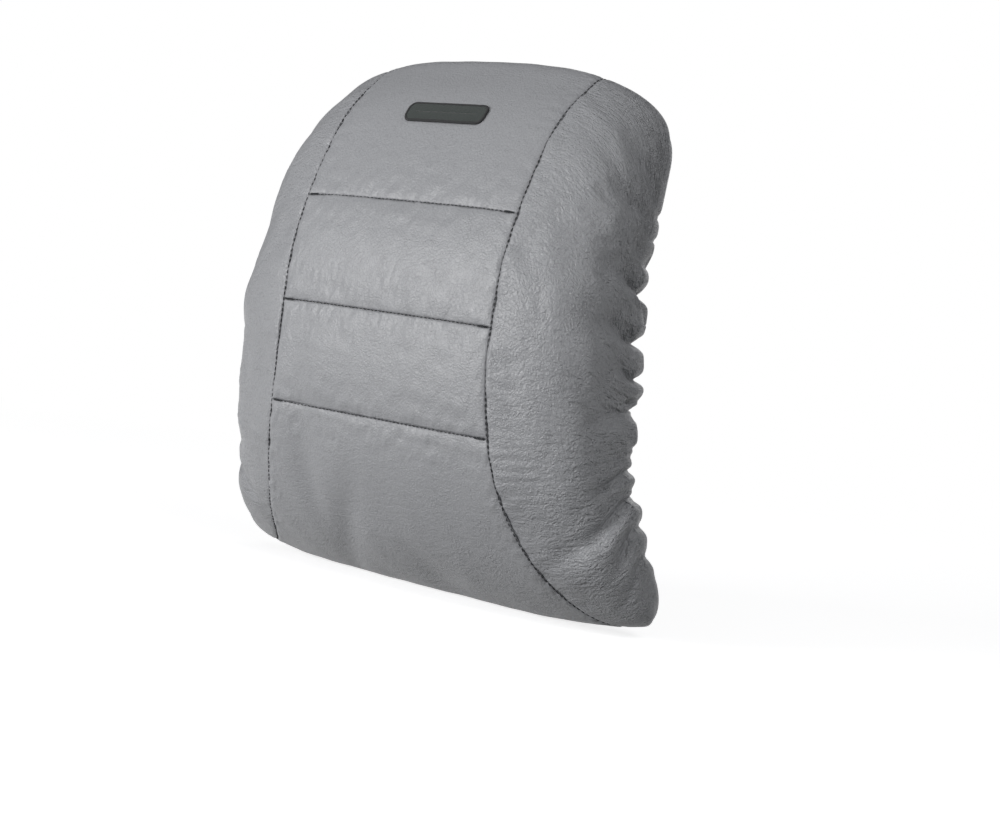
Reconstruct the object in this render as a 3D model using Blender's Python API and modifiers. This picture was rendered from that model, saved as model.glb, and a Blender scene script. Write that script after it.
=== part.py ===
# Headrest neck cushion: a moulded foam core in a sewn leather cover, held to a headrest by a strap.
# The flat back lies in the plane y = 0 and faces +Y, the leather front faces -Y, and +Z is up.
# The origin is on the back, at the middle of the strap. All sizes are in metres.
import math

import bmesh
import bpy
import numpy as np

COLLECTION = "headrest_neck_cushion"

# Overall form of the stuffed cover
HEM_HEIGHT = 0.2557
CREST_HEIGHT = 0.277
TOP_WIDTH = 0.227
WAIST_WIDTH = 0.244
FOOT_WIDTH = 0.306
BELLY_DEPTH = 0.085
CORNER_RADIUS = 0.026
RIM_SETBACK = 0.033
HEM_RETURN = 0.028
RETURN_POWER = 1.33
STRAP_HEIGHT = 0.128

# Centre panel between the two curved seams, and its cross seams
CENTRE_TOP_WIDTH = 0.150
CENTRE_WAIST_WIDTH = 0.1436
CENTRE_FOOT_WIDTH = 0.292
SIDE_LEAST_WIDTH = 0.012
CROSS_SEAMS = (0.45, 0.54, 0.62)

# Leather, seams and gathers
LEATHER = 0.0012
SEAM_GAP = 0.0004
SEAM_DIP = 0.0012
SEAM_ROLL = 0.005
SECTION_CROWN = 0.0012
GATHER_DEPTH = 0.0050
LEAN_SHARE = 0.05
FOAM_CLEARANCE = 0.0005
HEM_GAP = 0.0006
HEM_CORNER_GAP = 0.0026
TOP_HEM_GAP = 0.0025
FOOT_HEM_GAP = 0.0022
REST_GAP = 0.0003

# Badge
BADGE_WIDTH = 0.054
BADGE_HEIGHT = 0.0125
BADGE_THICKNESS = 0.0010
BADGE_CORNER = 0.0045
BADGE_SHARE = 0.351
BADGE_ACROSS = 0.0015

# Back and side elastics
BACK_FABRIC = 0.0012
ELASTIC_WIDTH = 0.008
ELASTIC_THICKNESS = 0.001
SIDE_ELASTIC_MARGIN = 0.028

# Zip
ZIP_HEIGHT = 0.036
ZIP_LENGTH = 0.181
TOOTH_PITCH = 0.0034
TOOTH_REACH = 0.0010
SPINE_WIDTH = 0.0015
ZIP_THICKNESS = 0.0024
TAPE_WIDTH = 0.010
TAPE_THICKNESS = 0.0006
SLIT_HALF = 0.0045
SLIDER_LENGTH = 0.009
SLIDER_PLATE = 0.0010
PULL_LENGTH = 0.024
PULL_WIDTH = 0.0064
PULL_THICKNESS = 0.0010
STOP_LENGTH = 0.002
TOOTH_CLEARANCE = 0.0002
TAPE_END = 0.010
SLIT_END = 0.004
SLIDER_STOP_GAP = 0.002
FLANGE_WALL = 0.0009
WEDGE_HALF = 0.0008
CROWN_HALF = 0.0030
CROWN_WALL = 0.0012
CROWN_RISE = 0.0026
PULL_CHAMFER = 0.0015
EYE_HALF = 0.0017
EYE_WALL = 0.0010
EYE_LENGTH = 0.0048

# Strap and its closure
STRAP_WIDTH = 0.040
STRAP_THICKNESS = 0.0014
STRAP_TOP = 0.222
STRAP_END = 0.080
TAB_FOOT = 0.055
TAB_END = 0.143
PATCH_LENGTH = 0.053
PATCH_THICKNESS = 0.0012
PATCH_MARGIN = 0.003
STRAP_RAMP = 0.030
TAB_CLEARANCE = 0.004

# Profile down the middle of the front, from the top hem to the bottom hem:
# each pair is a share of the belly depth and a share of the crest height
FRONT_PROFILE = (
    (0.235, 1.000), (0.420, 0.970), (0.725, 0.852), (0.986, 0.600),
    (0.937, 0.293), (0.661, 0.098), (0.244, -0.011),
)
# Squareness of the cross section at the top, the waist and the foot
SQUARENESS = (2.05, 4.8, 3.35)
WAIST_SHARE = 0.55
FOOT_SWEEP = 1.64
# Where the elastic pulls the leather in: share of the way down, depth and length of each crease
PINCHES = (
    (0.231, 0.40, 0.55), (0.290, 0.35, 0.60), (0.374, 1.00, 0.60), (0.456, 0.95, 0.45),
    (0.516, 0.60, 0.30), (0.570, 0.85, 0.45), (0.628, 0.40, 0.30), (0.670, 1.00, 0.50),
    (0.717, 0.90, 0.65), (0.765, 0.45, 0.40), (0.815, 0.35, 0.35),
)

COLOURS = {
    "leather": (0.310, 0.315, 0.330),
    "badge": (0.030, 0.033, 0.035),
    "foam": (0.62, 0.60, 0.52),
    "back_fabric": (0.060, 0.062, 0.066),
    "elastic": (0.045, 0.046, 0.050),
    "zip_tape": (0.040, 0.041, 0.044),
    "zip_plastic": (0.022, 0.022, 0.024),
    "zip_metal": (0.42, 0.42, 0.43),
    "webbing": (0.026, 0.027, 0.029),
    "hook_and_loop": (0.018, 0.018, 0.020),
}


def clear_scene():
    for obj in list(bpy.data.objects):
        bpy.data.objects.remove(obj, do_unlink=True)


def make_material(name, roughness=0.6, metallic=0.0):
    material = bpy.data.materials.new(name)
    material.use_nodes = True
    shader = material.node_tree.nodes["Principled BSDF"]
    shader.inputs["Base Color"].default_value = (*COLOURS[name], 1.0)
    shader.inputs["Roughness"].default_value = roughness
    shader.inputs["Metallic"].default_value = metallic
    return material


def z_of(height):
    """Height above the bottom hem to the part's own z, which is zero at the strap."""
    return height - STRAP_HEIGHT


# Form of the stuffed cover

def spline(points, t):
    """Catmull-Rom curve through the points, t from 0 to 1."""
    points = np.asarray(points, float)
    last = len(points) - 1
    ends = np.vstack([2 * points[0] - points[1], points, 2 * points[-1] - points[-2]])
    s = np.clip(t, 0.0, 1.0) * last
    i = np.minimum(s.astype(int), last - 1)
    f = (s - i)[..., None]
    a, b, c, d = ends[i], ends[i + 1], ends[i + 2], ends[i + 3]
    return 0.5 * (2 * b + (c - a) * f + (2 * a - 5 * b + 4 * c - d) * f**2
                  + (3 * b - a - 3 * c + d) * f**3)


def profile(v):
    """Depth in front of the back plane and height, down the middle of the front."""
    middle = [(share_y * BELLY_DEPTH, share_z * CREST_HEIGHT) for share_y, share_z in FRONT_PROFILE]
    return spline([(0.0, HEM_HEIGHT)] + middle + [(0.0, 0.0)], v)


def hem_height(v):
    """Height of the rim: even down the sides, slowing at both ends so that the corners turn under."""
    t = 1 - 2 * v
    return 0.5 * HEM_HEIGHT * (1 + t * (1 + (1 - t**8) / 8))


def down_at(height):
    """Share of the way down at which the rim has a height."""
    v = np.linspace(1.0, 0.0, 401)
    return np.interp(height, hem_height(v), v)


def half_width(v):
    """Half the width of the silhouette: a parabola through three widths, with rounded corners."""
    w = 0.5 * (TOP_WIDTH * (1 - v) * (1 - 2 * v) + 4 * WAIST_WIDTH * v * (1 - v)
               + FOOT_WIDTH * v * (2 * v - 1))
    height = hem_height(v)
    to_end = np.minimum(height, HEM_HEIGHT - height)
    inside = np.clip(CORNER_RADIUS - to_end, 0.0, CORNER_RADIUS)
    return w - CORNER_RADIUS + np.sqrt(CORNER_RADIUS**2 - inside**2)


def side_fade(v):
    """One where the cushion is deep, falling to zero at the two hems as the profile gets shallow."""
    shallow = 0.7 * profile(v)[..., 0] / RIM_SETBACK
    return shallow / (1 + np.maximum(shallow, 0.0)**3)**(1 / 3)


def seam_x(v):
    """Half the width of the centre panel: wide at the top, narrow at the waist, sweeping out below."""
    above = np.clip((WAIST_SHARE - v) / WAIST_SHARE, 0.0, None)
    below = np.clip((v - WAIST_SHARE) / (1 - WAIST_SHARE), 0.0, None)
    wanted = 0.5 * (CENTRE_WAIST_WIDTH
                    + (CENTRE_TOP_WIDTH - CENTRE_WAIST_WIDTH) * above**2
                    + (CENTRE_FOOT_WIDTH - CENTRE_WAIST_WIDTH) * below**FOOT_SWEEP)
    most = half_width(v) - SIDE_LEAST_WIDTH
    blend = 0.5 * SIDE_LEAST_WIDTH
    return 0.5 * (wanted + most - np.sqrt((wanted - most)**2 + blend**2))


def squareness(v):
    return np.interp(v, (0.0, 0.5, 1.0), SQUARENESS)


def front_point(v, x):
    """Point of the front at share v of the way down and at x: a superellipse across the profile."""
    n = squareness(v)
    reach = np.clip(1 - np.clip(np.abs(x) / half_width(v), 0.0, 1.0)**n, 0.0, 1.0)**(1 / n)
    middle = profile(v)
    setback = RIM_SETBACK * side_fade(v)
    hem = hem_height(v)
    y = -setback - (middle[..., 0] - setback) * reach
    z = hem + (middle[..., 1] - hem) * reach
    return np.stack([x + 0 * y, y, z_of(z)], axis=-1)


def side_point(v, c, start):
    """Right side: c from 0 at x = start to 1 at the rim, then to 2 at the hem in a flattened quarter turn."""
    n = squareness(v)
    w = half_width(v)
    from_angle = np.arcsin(np.clip(start / w, 0.0, 1.0)**(n / 2))
    angle = from_angle + (math.pi / 2 - from_angle) * np.clip(c, 0.0, 1.0)
    front = front_point(v, w * np.sin(angle)**(2 / n))
    turn = np.clip(c - 1, 0.0, 1.0) * math.pi / 2
    fade = side_fade(v)
    inward = 1 - np.clip(np.cos(turn), 0.0, 1.0)**RETURN_POWER
    rearward = np.sin(turn)**RETURN_POWER
    back = np.stack([w - HEM_RETURN * fade * inward,
                     -RIM_SETBACK * fade * (1 - rearward),
                     z_of(hem_height(v)) + 0 * c], axis=-1)
    return np.where((c > 1)[..., None], back, front)


def hem_x(v):
    """Half the width between the side hems, on the back."""
    return half_width(v) - HEM_RETURN * side_fade(v)


def grid_normals(grid):
    """Unit normals of a grid of points whose rows run down and whose columns run towards +X."""
    down = np.gradient(grid, axis=0)
    across = np.gradient(grid, axis=1)
    normal = np.cross(down, across)
    length = np.linalg.norm(normal, axis=-1, keepdims=True)
    return np.where(length > 1e-12, normal / np.maximum(length, 1e-12), 0.0)


# Making the objects

def add_object(name, mesh, material, collection, smooth=True):
    mesh.materials.append(material)
    obj = bpy.data.objects.new(name, mesh)
    collection.objects.link(obj)
    if smooth:
        mesh.shade_smooth()
    return obj


def grid_mesh(name, grid):
    """A mesh of quads on a grid of points, with the points that coincide merged."""
    rows, columns = grid.shape[:2]
    index = np.arange(rows * columns).reshape(rows, columns)
    faces = np.stack([index[:-1, :-1], index[1:, :-1], index[1:, 1:], index[:-1, 1:]], axis=-1)
    mesh = bpy.data.meshes.new(name)
    mesh.from_pydata(grid.reshape(-1, 3).tolist(), [], faces.reshape(-1, 4).tolist())
    work = bmesh.new()
    work.from_mesh(mesh)
    bmesh.ops.remove_doubles(work, verts=work.verts, dist=1e-6)
    work.to_mesh(mesh)
    work.free()
    return mesh


def sheet(name, grid, thickness, material, collection):
    """A sewn panel: an open grid given its thickness on the inner side."""
    obj = add_object(name, grid_mesh(name, grid), material, collection)
    wall = obj.modifiers.new("thickness", "SOLIDIFY")
    wall.thickness = thickness
    wall.offset = -1.0
    wall.use_even_offset = False
    return obj


def flat_piece(name, outlines, back, thickness, material, collection):
    """A flat piece in the XZ plane from y = back towards -Y; later outlines are holes."""
    curve = bpy.data.curves.new(name, "CURVE")
    curve.dimensions = "2D"
    curve.fill_mode = "BOTH"
    curve.extrude = thickness / 2
    for outline in outlines:
        line = curve.splines.new("POLY")
        line.points.add(len(outline) - 1)
        for point, (x, z) in zip(line.points, outline):
            point.co = (x, z, 0.0, 1.0)
        line.use_cyclic_u = True
    curve.materials.append(material)
    obj = bpy.data.objects.new(name, curve)
    obj.rotation_euler = (math.pi / 2, 0.0, 0.0)
    obj.location = (0.0, back - thickness / 2, 0.0)
    collection.objects.link(obj)
    return obj


def box(work, low, high):
    """A box between two corners, added to a bmesh."""
    made = bmesh.ops.create_cube(work, size=1.0)
    for vert in made["verts"]:
        vert.co = [a + (b - a) * (s + 0.5) for a, b, s in zip(low, high, vert.co)]


def joined_boxes(name, boxes, material, collection, cutters, origin):
    """One solid from boxes that overlap, by Boolean unions; the corners are given from origin."""
    base = None
    for number, (low, high) in enumerate(boxes):
        work = bmesh.new()
        box(work, low, high)
        mesh = bpy.data.meshes.new(f"{name}_{number}" if number else name)
        work.to_mesh(mesh)
        work.free()
        if base is None:
            base = add_object(name, mesh, material, collection, smooth=False)
            base.location = origin
            continue
        tool = bpy.data.objects.new(mesh.name, mesh)
        tool.location = origin
        tool.hide_render = True
        tool.display_type = "WIRE"
        cutters.objects.link(tool)
        union = base.modifiers.new(f"join_{number}", "BOOLEAN")
        union.operation = "UNION"
        union.solver = "EXACT"
        union.object = tool
    return base


# Front sections

def section_grid(v_top, v_foot, open_top, open_foot):
    """Outer face of a centre section between two shares of the way down, on the side panels' rows."""
    across = np.array([-1.0, -0.965, -0.9, -0.7, -0.45, -0.15, 0.15, 0.45, 0.7, 0.9, 0.965, 1.0])
    edge = 0.6 * SEAM_ROLL / HEM_HEIGHT
    rows = seam_rows(gather_rows())
    rows = rows[(rows > v_top + 1.5 * edge) & (rows < v_foot - 1.5 * edge)]
    top_rows = [v_top, v_top + edge] if open_top else [v_top]
    foot_rows = [v_foot - edge, v_foot] if open_foot else [v_foot]
    if not open_top:
        rows = np.concatenate([seam_rows(gather_rows())[1:2], rows])
    if not open_foot:
        rows = np.concatenate([rows, seam_rows(gather_rows())[-2:-1]])
    v = np.unique(np.concatenate([top_rows, rows, foot_rows]))
    v_grid = v[:, None] + 0 * across[None, :]
    half = seam_x(v_grid) - SEAM_GAP / 2
    x = half * across[None, :]
    grid = front_point(v_grid, x)
    along = (v_grid - v_top) / (v_foot - v_top)
    crown = SECTION_CROWN * np.sin(math.pi * along) * (1 - (x / half)**4)
    to_side = half - np.abs(x)
    dip = SEAM_DIP * np.clip(1 - to_side / SEAM_ROLL, 0.0, 1.0)**2
    if open_top:
        to_top = (v_grid - v_top) * HEM_HEIGHT
        dip = np.maximum(dip, SEAM_DIP * np.clip(1 - to_top / SEAM_ROLL, 0.0, 1.0)**2)
    if open_foot:
        to_foot = (v_foot - v_grid) * HEM_HEIGHT
        dip = np.maximum(dip, SEAM_DIP * np.clip(1 - to_foot / SEAM_ROLL, 0.0, 1.0)**2)
    return grid + grid_normals(grid) * (crown - dip)[..., None]


def make_centre_sections(leather, collection):
    half_gap = 0.5 * SEAM_GAP / HEM_HEIGHT
    a, b, c = CROSS_SEAMS
    plan = (
        ("headrest_section", 0.0, a - half_gap, False, True),
        ("upper_neck_section", a + half_gap, b - half_gap, True, True),
        ("lower_neck_section", b + half_gap, c - half_gap, True, True),
        ("foot_section", c + half_gap, 1.0, True, False),
    )
    for name, top, foot, open_top, open_foot in plan:
        sheet(name, section_grid(top, foot, open_top, open_foot), LEATHER, leather, collection)


# Gathered side panels

def gather_rows():
    """Shares of the way down for the rows of a side panel, closest together beside each pinch."""
    stops = [0.0] + [pinch[0] for pinch in PINCHES] + [1.0]
    rows = []
    for number, (low, high) in enumerate(zip(stops, stops[1:])):
        ends = number in (0, len(stops) - 2)
        shares = (0.0, 0.10, 0.30, 0.50, 0.70, 0.90) if ends else (0.0, 0.14, 0.5, 0.86)
        rows += [low + (high - low) * share for share in shares]
    return np.array(rows + [1.0])


def seam_rows(rim_v):
    """Where the leaning rows of the sides meet the seam, as shares of the way down."""
    return rim_v + 4 * LEAN_SHARE * rim_v * (1 - rim_v)


def gather_depth(v, c):
    """Depth of the gathers: a groove at each pinch that dies out towards the seam and at the hem."""
    down = np.array([pinch[0] for pinch in PINCHES])
    strength = np.array([pinch[1] for pinch in PINCHES])
    reach = np.array([pinch[2] for pinch in PINCHES])
    nearest = np.argmin(np.abs(v[..., None] - down), axis=-1)
    offset = v - down[nearest]
    padded = np.concatenate([[down[0] - 0.07], down, [down[-1] + 0.09]])
    spacing = np.where(offset > 0, padded[nearest + 2] - padded[nearest + 1],
                       padded[nearest + 1] - padded[nearest])
    share = np.clip(np.abs(offset) / spacing, 0.0, 0.5)
    groove = (1 - np.sin(math.pi * share))**1.4
    grow = np.clip((c - (1 - reach[nearest])) / reach[nearest], 0.0, 1.0)
    grow = grow * grow * (3 - 2 * grow)
    hem = np.clip((1.9 - c) / 0.5, 0.0, 1.0)
    return GATHER_DEPTH * strength[nearest] * groove * grow * hem


def side_grid():
    """Outer face of the right side panel, seam to hem, with its rows leaning as the creases do."""
    columns = np.array([0.0, 0.03, 0.08, 0.2, 0.34, 0.48, 0.62, 0.76, 0.88, 1.0, 1.25, 1.55, 1.9, 2.0])
    rows = gather_rows()
    rim_v, c = np.meshgrid(rows, columns, indexing="ij")
    away = np.clip(1 - c, 0.0, 1.0)
    v = rim_v + (seam_rows(rim_v) - rim_v) * away * (2 - away)
    v[0] = 0.0
    v[-1] = 1.0
    start = seam_x(v) + SEAM_GAP / 2
    grid = side_point(v, c, start)
    from_seam = np.linalg.norm(grid - grid[:, :1], axis=-1)
    dip = SEAM_DIP * np.clip(1 - from_seam / SEAM_ROLL, 0.0, 1.0)**2
    ends = side_fade(rim_v)
    depth = dip + gather_depth(rim_v, c) * ends
    return grid - grid_normals(grid) * depth[..., None]


def make_side_panels(leather, collection):
    right = side_grid()
    sheet("side_panel_right", right, LEATHER, leather, collection)
    left = right[:, ::-1] * np.array([-1.0, 1.0, 1.0])
    sheet("side_panel_left", left, LEATHER, leather, collection)


# Foam core

def make_foam_core(material, collection):
    """A closed loft: its front follows the cover from further in, its rear is flat and clears the zip."""
    inset = LEATHER + SEAM_DIP + FOAM_CLEARANCE
    side_inset = inset + GATHER_DEPTH
    back = foam_back()
    v = np.linspace(0.0, 1.0, 25)
    angles = np.radians(np.linspace(-90.0, 90.0, 23))
    v_grid, angle = np.meshgrid(v, angles, indexing="ij")
    n = squareness(v_grid)
    share = np.sign(np.sin(angle)) * np.abs(np.sin(angle))**(2 / n)
    reach = np.abs(np.cos(angle))**(2 / n)
    w = half_width(v_grid) - side_inset
    middle = profile(v_grid)
    middle = np.stack([-middle[..., 0], middle[..., 1]], axis=-1)
    along = np.gradient(middle[:, 0], axis=0)
    along /= np.linalg.norm(along, axis=-1, keepdims=True)
    inward = np.stack([-along[:, 1], along[:, 0]], axis=-1)[:, None, :]
    middle = middle + inward * inset
    setback = back + (RIM_SETBACK - back) * side_fade(v_grid)
    hem = inset * 1.6 + (1 - 3.2 * inset / HEM_HEIGHT) * hem_height(v_grid)
    y = np.minimum(-setback + (middle[..., 0] + setback) * reach, -back)
    z = z_of(hem + (middle[..., 1] - hem) * reach)
    front = np.stack([w * share, y, z], axis=-1)
    hem_half = w - HEM_RETURN * side_fade(v_grid)
    rear = np.stack([hem_half * share, np.full_like(w, -back), z_of(hem)], axis=-1)
    loop = np.concatenate([front, rear[:, ::-1]], axis=1)
    loop[0] = np.concatenate([rear[0], rear[0, ::-1]])
    loop[-1] = np.concatenate([rear[-1], rear[-1, ::-1]])
    loop = np.concatenate([loop, loop[:, :1]], axis=1)
    mesh = grid_mesh("foam_core", loop)
    work = bmesh.new()
    work.from_mesh(mesh)
    bmesh.ops.dissolve_degenerate(work, edges=work.edges, dist=1e-6)
    bmesh.ops.recalc_face_normals(work, faces=work.faces)
    work.to_mesh(mesh)
    work.free()
    add_object("foam_core", mesh, material, collection)


def zip_centre():
    """How far the middle of the zip lies in front of the back plane."""
    return BACK_FABRIC + REST_GAP + TAPE_THICKNESS / 2


def slider_depth():
    """How far the slider's inner plate reaches in front of the back plane."""
    return zip_centre() + ZIP_THICKNESS / 2 + REST_GAP + SLIDER_PLATE


def foam_back():
    return slider_depth() + REST_GAP


# Badge

def make_badge(material, collection):
    """A blank lozenge that follows the leather under it."""
    across = np.array([-1.0, -0.97, -0.92, -0.83, -0.6, -0.3, 0.0, 0.3, 0.6, 0.83, 0.92, 0.97, 1.0])
    down = np.linspace(-1.0, 1.0, 5)
    x = across * BADGE_WIDTH / 2
    to_end = BADGE_WIDTH / 2 - np.abs(x)
    into = np.clip(BADGE_CORNER - to_end, 0.0, BADGE_CORNER)
    half = BADGE_HEIGHT / 2 - BADGE_CORNER + np.sqrt(np.maximum(BADGE_CORNER**2 - into**2, 0.0))
    step = 0.004
    near = profile(np.array([BADGE_SHARE - step, BADGE_SHARE + step]))
    speed = np.linalg.norm(near[1] - near[0]) / (2 * step)
    v = BADGE_SHARE + down[:, None] * half[None, :] / speed
    grid = front_point(v, BADGE_ACROSS + x[None, :] + 0 * v)
    along = v / CROSS_SEAMS[0]
    lift = SECTION_CROWN * np.sin(math.pi * along) + BADGE_THICKNESS + REST_GAP + 0.0002
    grid = grid + grid_normals(grid) * lift[..., None]
    sheet("badge", grid, BADGE_THICKNESS, material, collection)


# Back

def back_outline(low, high, count):
    """Half outline up the right side between two heights, just inside the hem and clear of its corners."""
    heights = np.linspace(low, high, count)
    v = down_at(heights)
    x = hem_x(v) - HEM_GAP - HEM_CORNER_GAP * (1 - side_fade(v))
    return [(float(a), float(z_of(h))) for a, h in zip(x, heights)]


def mirrored(points):
    return [(-x, z) for x, z in reversed(points)]


def slit_outline(side):
    """The edge along the zip: together at the seam ends, apart where the teeth lie."""
    end = ZIP_LENGTH / 2 + STOP_LENGTH + SLIT_END
    line = z_of(ZIP_HEIGHT)
    closed = line + side * REST_GAP / 2
    opened = line + side * SLIT_HALF
    return [(end + SLIT_END, closed), (end, opened), (-end, opened), (-end - SLIT_END, closed)]


def make_back(fabric, collection):
    upper = back_outline(ZIP_HEIGHT + REST_GAP / 2, HEM_HEIGHT - TOP_HEM_GAP, 16)
    lower = back_outline(FOOT_HEM_GAP, ZIP_HEIGHT - REST_GAP / 2, 8)
    upper_outline = upper + mirrored(upper) + slit_outline(1)[::-1]
    lower_outline = lower + slit_outline(-1) + mirrored(lower)
    flat_piece("back_panel", [upper_outline], 0.0, BACK_FABRIC, fabric, collection)
    flat_piece("lower_back_strip", [lower_outline], 0.0, BACK_FABRIC, fabric, collection)


def make_side_elastics(material, collection):
    """A flat elastic on the inside of each side hem."""
    heights = np.linspace(SIDE_ELASTIC_MARGIN, HEM_HEIGHT - SIDE_ELASTIC_MARGIN, 15)
    v = down_at(heights)
    outer = [(float(hem_x(a) + REST_GAP), float(z_of(h))) for a, h in zip(v, heights)]
    inner = [(x - ELASTIC_WIDTH, z) for x, z in reversed(outer)]
    back = -BACK_FABRIC - REST_GAP
    outline = outer + inner
    flat_piece("side_elastic_right", [outline], back, ELASTIC_THICKNESS, material, collection)
    flat_piece("side_elastic_left", [mirrored(outline)], back, ELASTIC_THICKNESS, material, collection)


# Zip

def comb_outline(side):
    """One row of teeth: a spine with a tooth at every other half pitch, reaching over the middle."""
    line = z_of(ZIP_HEIGHT)
    spine_in = line + side * (TOOTH_REACH + TOOTH_CLEARANCE)
    spine_out = line + side * spine_edge()
    tip = line - side * (TOOTH_REACH - TOOTH_CLEARANCE)
    start = -ZIP_LENGTH / 2
    first = start + TOOTH_PITCH * (0.3 if side > 0 else 0.8)
    room = -start - SLIDER_STOP_GAP - wedge_length() - 2 * REST_GAP - first
    tooth = TOOTH_PITCH / 2 - REST_GAP
    edge = [(start, spine_in)]
    for number in range(int(room / TOOTH_PITCH)):
        x = first + number * TOOTH_PITCH
        edge += [(x, spine_in), (x + TOOTH_CLEARANCE, tip),
                 (x + tooth - TOOTH_CLEARANCE, tip), (x + tooth, spine_in)]
    return edge + [(-start, spine_in), (-start, spine_out), (start, spine_out)]


def tape_outline(side):
    line = z_of(ZIP_HEIGHT)
    near = line + side * (spine_edge() + REST_GAP)
    far = near + side * TAPE_WIDTH
    end = ZIP_LENGTH / 2 + TAPE_END
    return [(-end, near), (end, near), (end, far), (-end, far)]


def stop_outline(x, low, high):
    line = z_of(ZIP_HEIGHT)
    return [(x, line + low), (x + STOP_LENGTH, line + low),
            (x + STOP_LENGTH, line + high), (x, line + high)]


def make_zip(tape, plastic, metal, collection, cutters):
    teeth_back = -zip_centre() + ZIP_THICKNESS / 2
    tape_back = -zip_centre() + TAPE_THICKNESS / 2
    for side, word in ((1, "upper"), (-1, "lower")):
        flat_piece(f"zip_teeth_{word}", [comb_outline(side)], teeth_back, ZIP_THICKNESS,
                   plastic, collection)
        flat_piece(f"zip_tape_{word}", [tape_outline(side)], tape_back, TAPE_THICKNESS,
                   tape, collection)
    outer = spine_edge()
    inner = WEDGE_HALF
    stop_x = ZIP_LENGTH / 2 + REST_GAP
    flat_piece("zip_top_stop_upper", [stop_outline(stop_x, inner, outer)],
               teeth_back, ZIP_THICKNESS, metal, collection)
    flat_piece("zip_top_stop_lower", [stop_outline(stop_x, -outer, -inner)],
               teeth_back, ZIP_THICKNESS, metal, collection)
    flat_piece("zip_bottom_stop", [stop_outline(-stop_x - STOP_LENGTH, -outer, outer)],
               teeth_back, ZIP_THICKNESS, metal, collection)
    make_slider(metal, collection, cutters, teeth_back)


def spine_edge():
    """Half the width of the closed teeth with their spines."""
    return TOOTH_REACH + TOOTH_CLEARANCE + SPINE_WIDTH


def wedge_length():
    """The wedge fills the front of the slider, past the last tooth that is closed."""
    return SLIDER_LENGTH * 0.38


def slider_x():
    """The slider rests at the closed end, just short of the top stops."""
    return ZIP_LENGTH / 2 - SLIDER_LENGTH / 2 - SLIDER_STOP_GAP


def make_slider(metal, collection, cutters, teeth_back):
    """Two plates with side flanges, joined by the wedge, and a crown that holds the pull."""
    half = SLIDER_LENGTH / 2
    inner = spine_edge() + REST_GAP
    width = inner + FLANGE_WALL
    flange = width - 0.1 * FLANGE_WALL
    top_low = teeth_back + REST_GAP
    top_high = top_low + SLIDER_PLATE
    under_high = teeth_back - ZIP_THICKNESS - REST_GAP
    under_low = under_high - SLIDER_PLATE
    tape_high = -zip_centre() + TAPE_THICKNESS / 2 + REST_GAP
    tape_low = -zip_centre() - TAPE_THICKNESS / 2 - REST_GAP
    into_top = top_low + SLIDER_PLATE / 2
    into_under = under_low + SLIDER_PLATE / 2
    front = half - SLIDER_LENGTH * 0.05
    leg = CROWN_HALF - CROWN_WALL
    crown_high = top_high + CROWN_RISE
    roof_end = CROWN_HALF - 0.1 * CROWN_WALL
    roof_half = 0.9 * CROWN_WALL
    roof_high = crown_high - 0.1 * CROWN_WALL
    boxes = [
        ((-half, top_low, -width), (half, top_high, width)),
        ((-half, under_low, -width), (half, under_high, width)),
        ((-half, tape_high, inner), (half, into_top, flange)),
        ((-half, tape_high, -flange), (half, into_top, -inner)),
        ((-half, into_under, inner), (half, tape_low, flange)),
        ((-half, into_under, -flange), (half, tape_low, -inner)),
        ((front - wedge_length(), into_under, -WEDGE_HALF), (front, into_top, WEDGE_HALF)),
        ((-CROWN_HALF, into_top, -CROWN_WALL), (-leg, crown_high, CROWN_WALL)),
        ((leg, into_top, -CROWN_WALL), (CROWN_HALF, crown_high, CROWN_WALL)),
        ((-roof_end, crown_high - CROWN_WALL, -roof_half), (roof_end, roof_high, roof_half)),
    ]
    origin = (slider_x(), 0.0, z_of(ZIP_HEIGHT))
    joined_boxes("zip_slider", boxes, metal, collection, cutters, origin)
    make_pull(metal, collection, top_high + pull_rise())


def pull_rise():
    """The bar's axis lies in the middle of the crown's opening."""
    return 0.5 * (CROWN_RISE - CROWN_WALL)


def make_pull(metal, collection, axis_y):
    """A flat pull with an eye; its origin is on the bar that turns inside the crown."""
    bar = PULL_THICKNESS / 2
    leg = EYE_HALF + EYE_WALL
    wide = PULL_WIDTH / 2
    half = [(bar, leg), (-EYE_LENGTH, leg), (-EYE_LENGTH - PULL_CHAMFER, wide),
            (-PULL_LENGTH + PULL_CHAMFER, wide), (-PULL_LENGTH, wide - PULL_CHAMFER)]
    outline = half + [(x, -z) for x, z in reversed(half)]
    eye = [(-bar, -EYE_HALF), (-bar, EYE_HALF), (-EYE_LENGTH, EYE_HALF), (-EYE_LENGTH, -EYE_HALF)]
    pull = flat_piece("zip_pull", [outline, eye], bar, PULL_THICKNESS, metal, collection)
    pull.location = (slider_x(), axis_y, z_of(ZIP_HEIGHT))


# Strap

def ribbon(name, path, width, thickness, material, collection):
    """A flat band: the path gives its rear face as distance behind the back plane and height."""
    path = np.array(path)
    x = np.array([width / 2, 0.0, -width / 2])
    grid = np.stack([x[None, :] + 0 * path[:, :1], path[:, :1] + 0 * x[None, :],
                     z_of(path[:, 1:2]) + 0 * x[None, :]], axis=-1)
    sheet(name, grid, thickness, material, collection)


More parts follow.
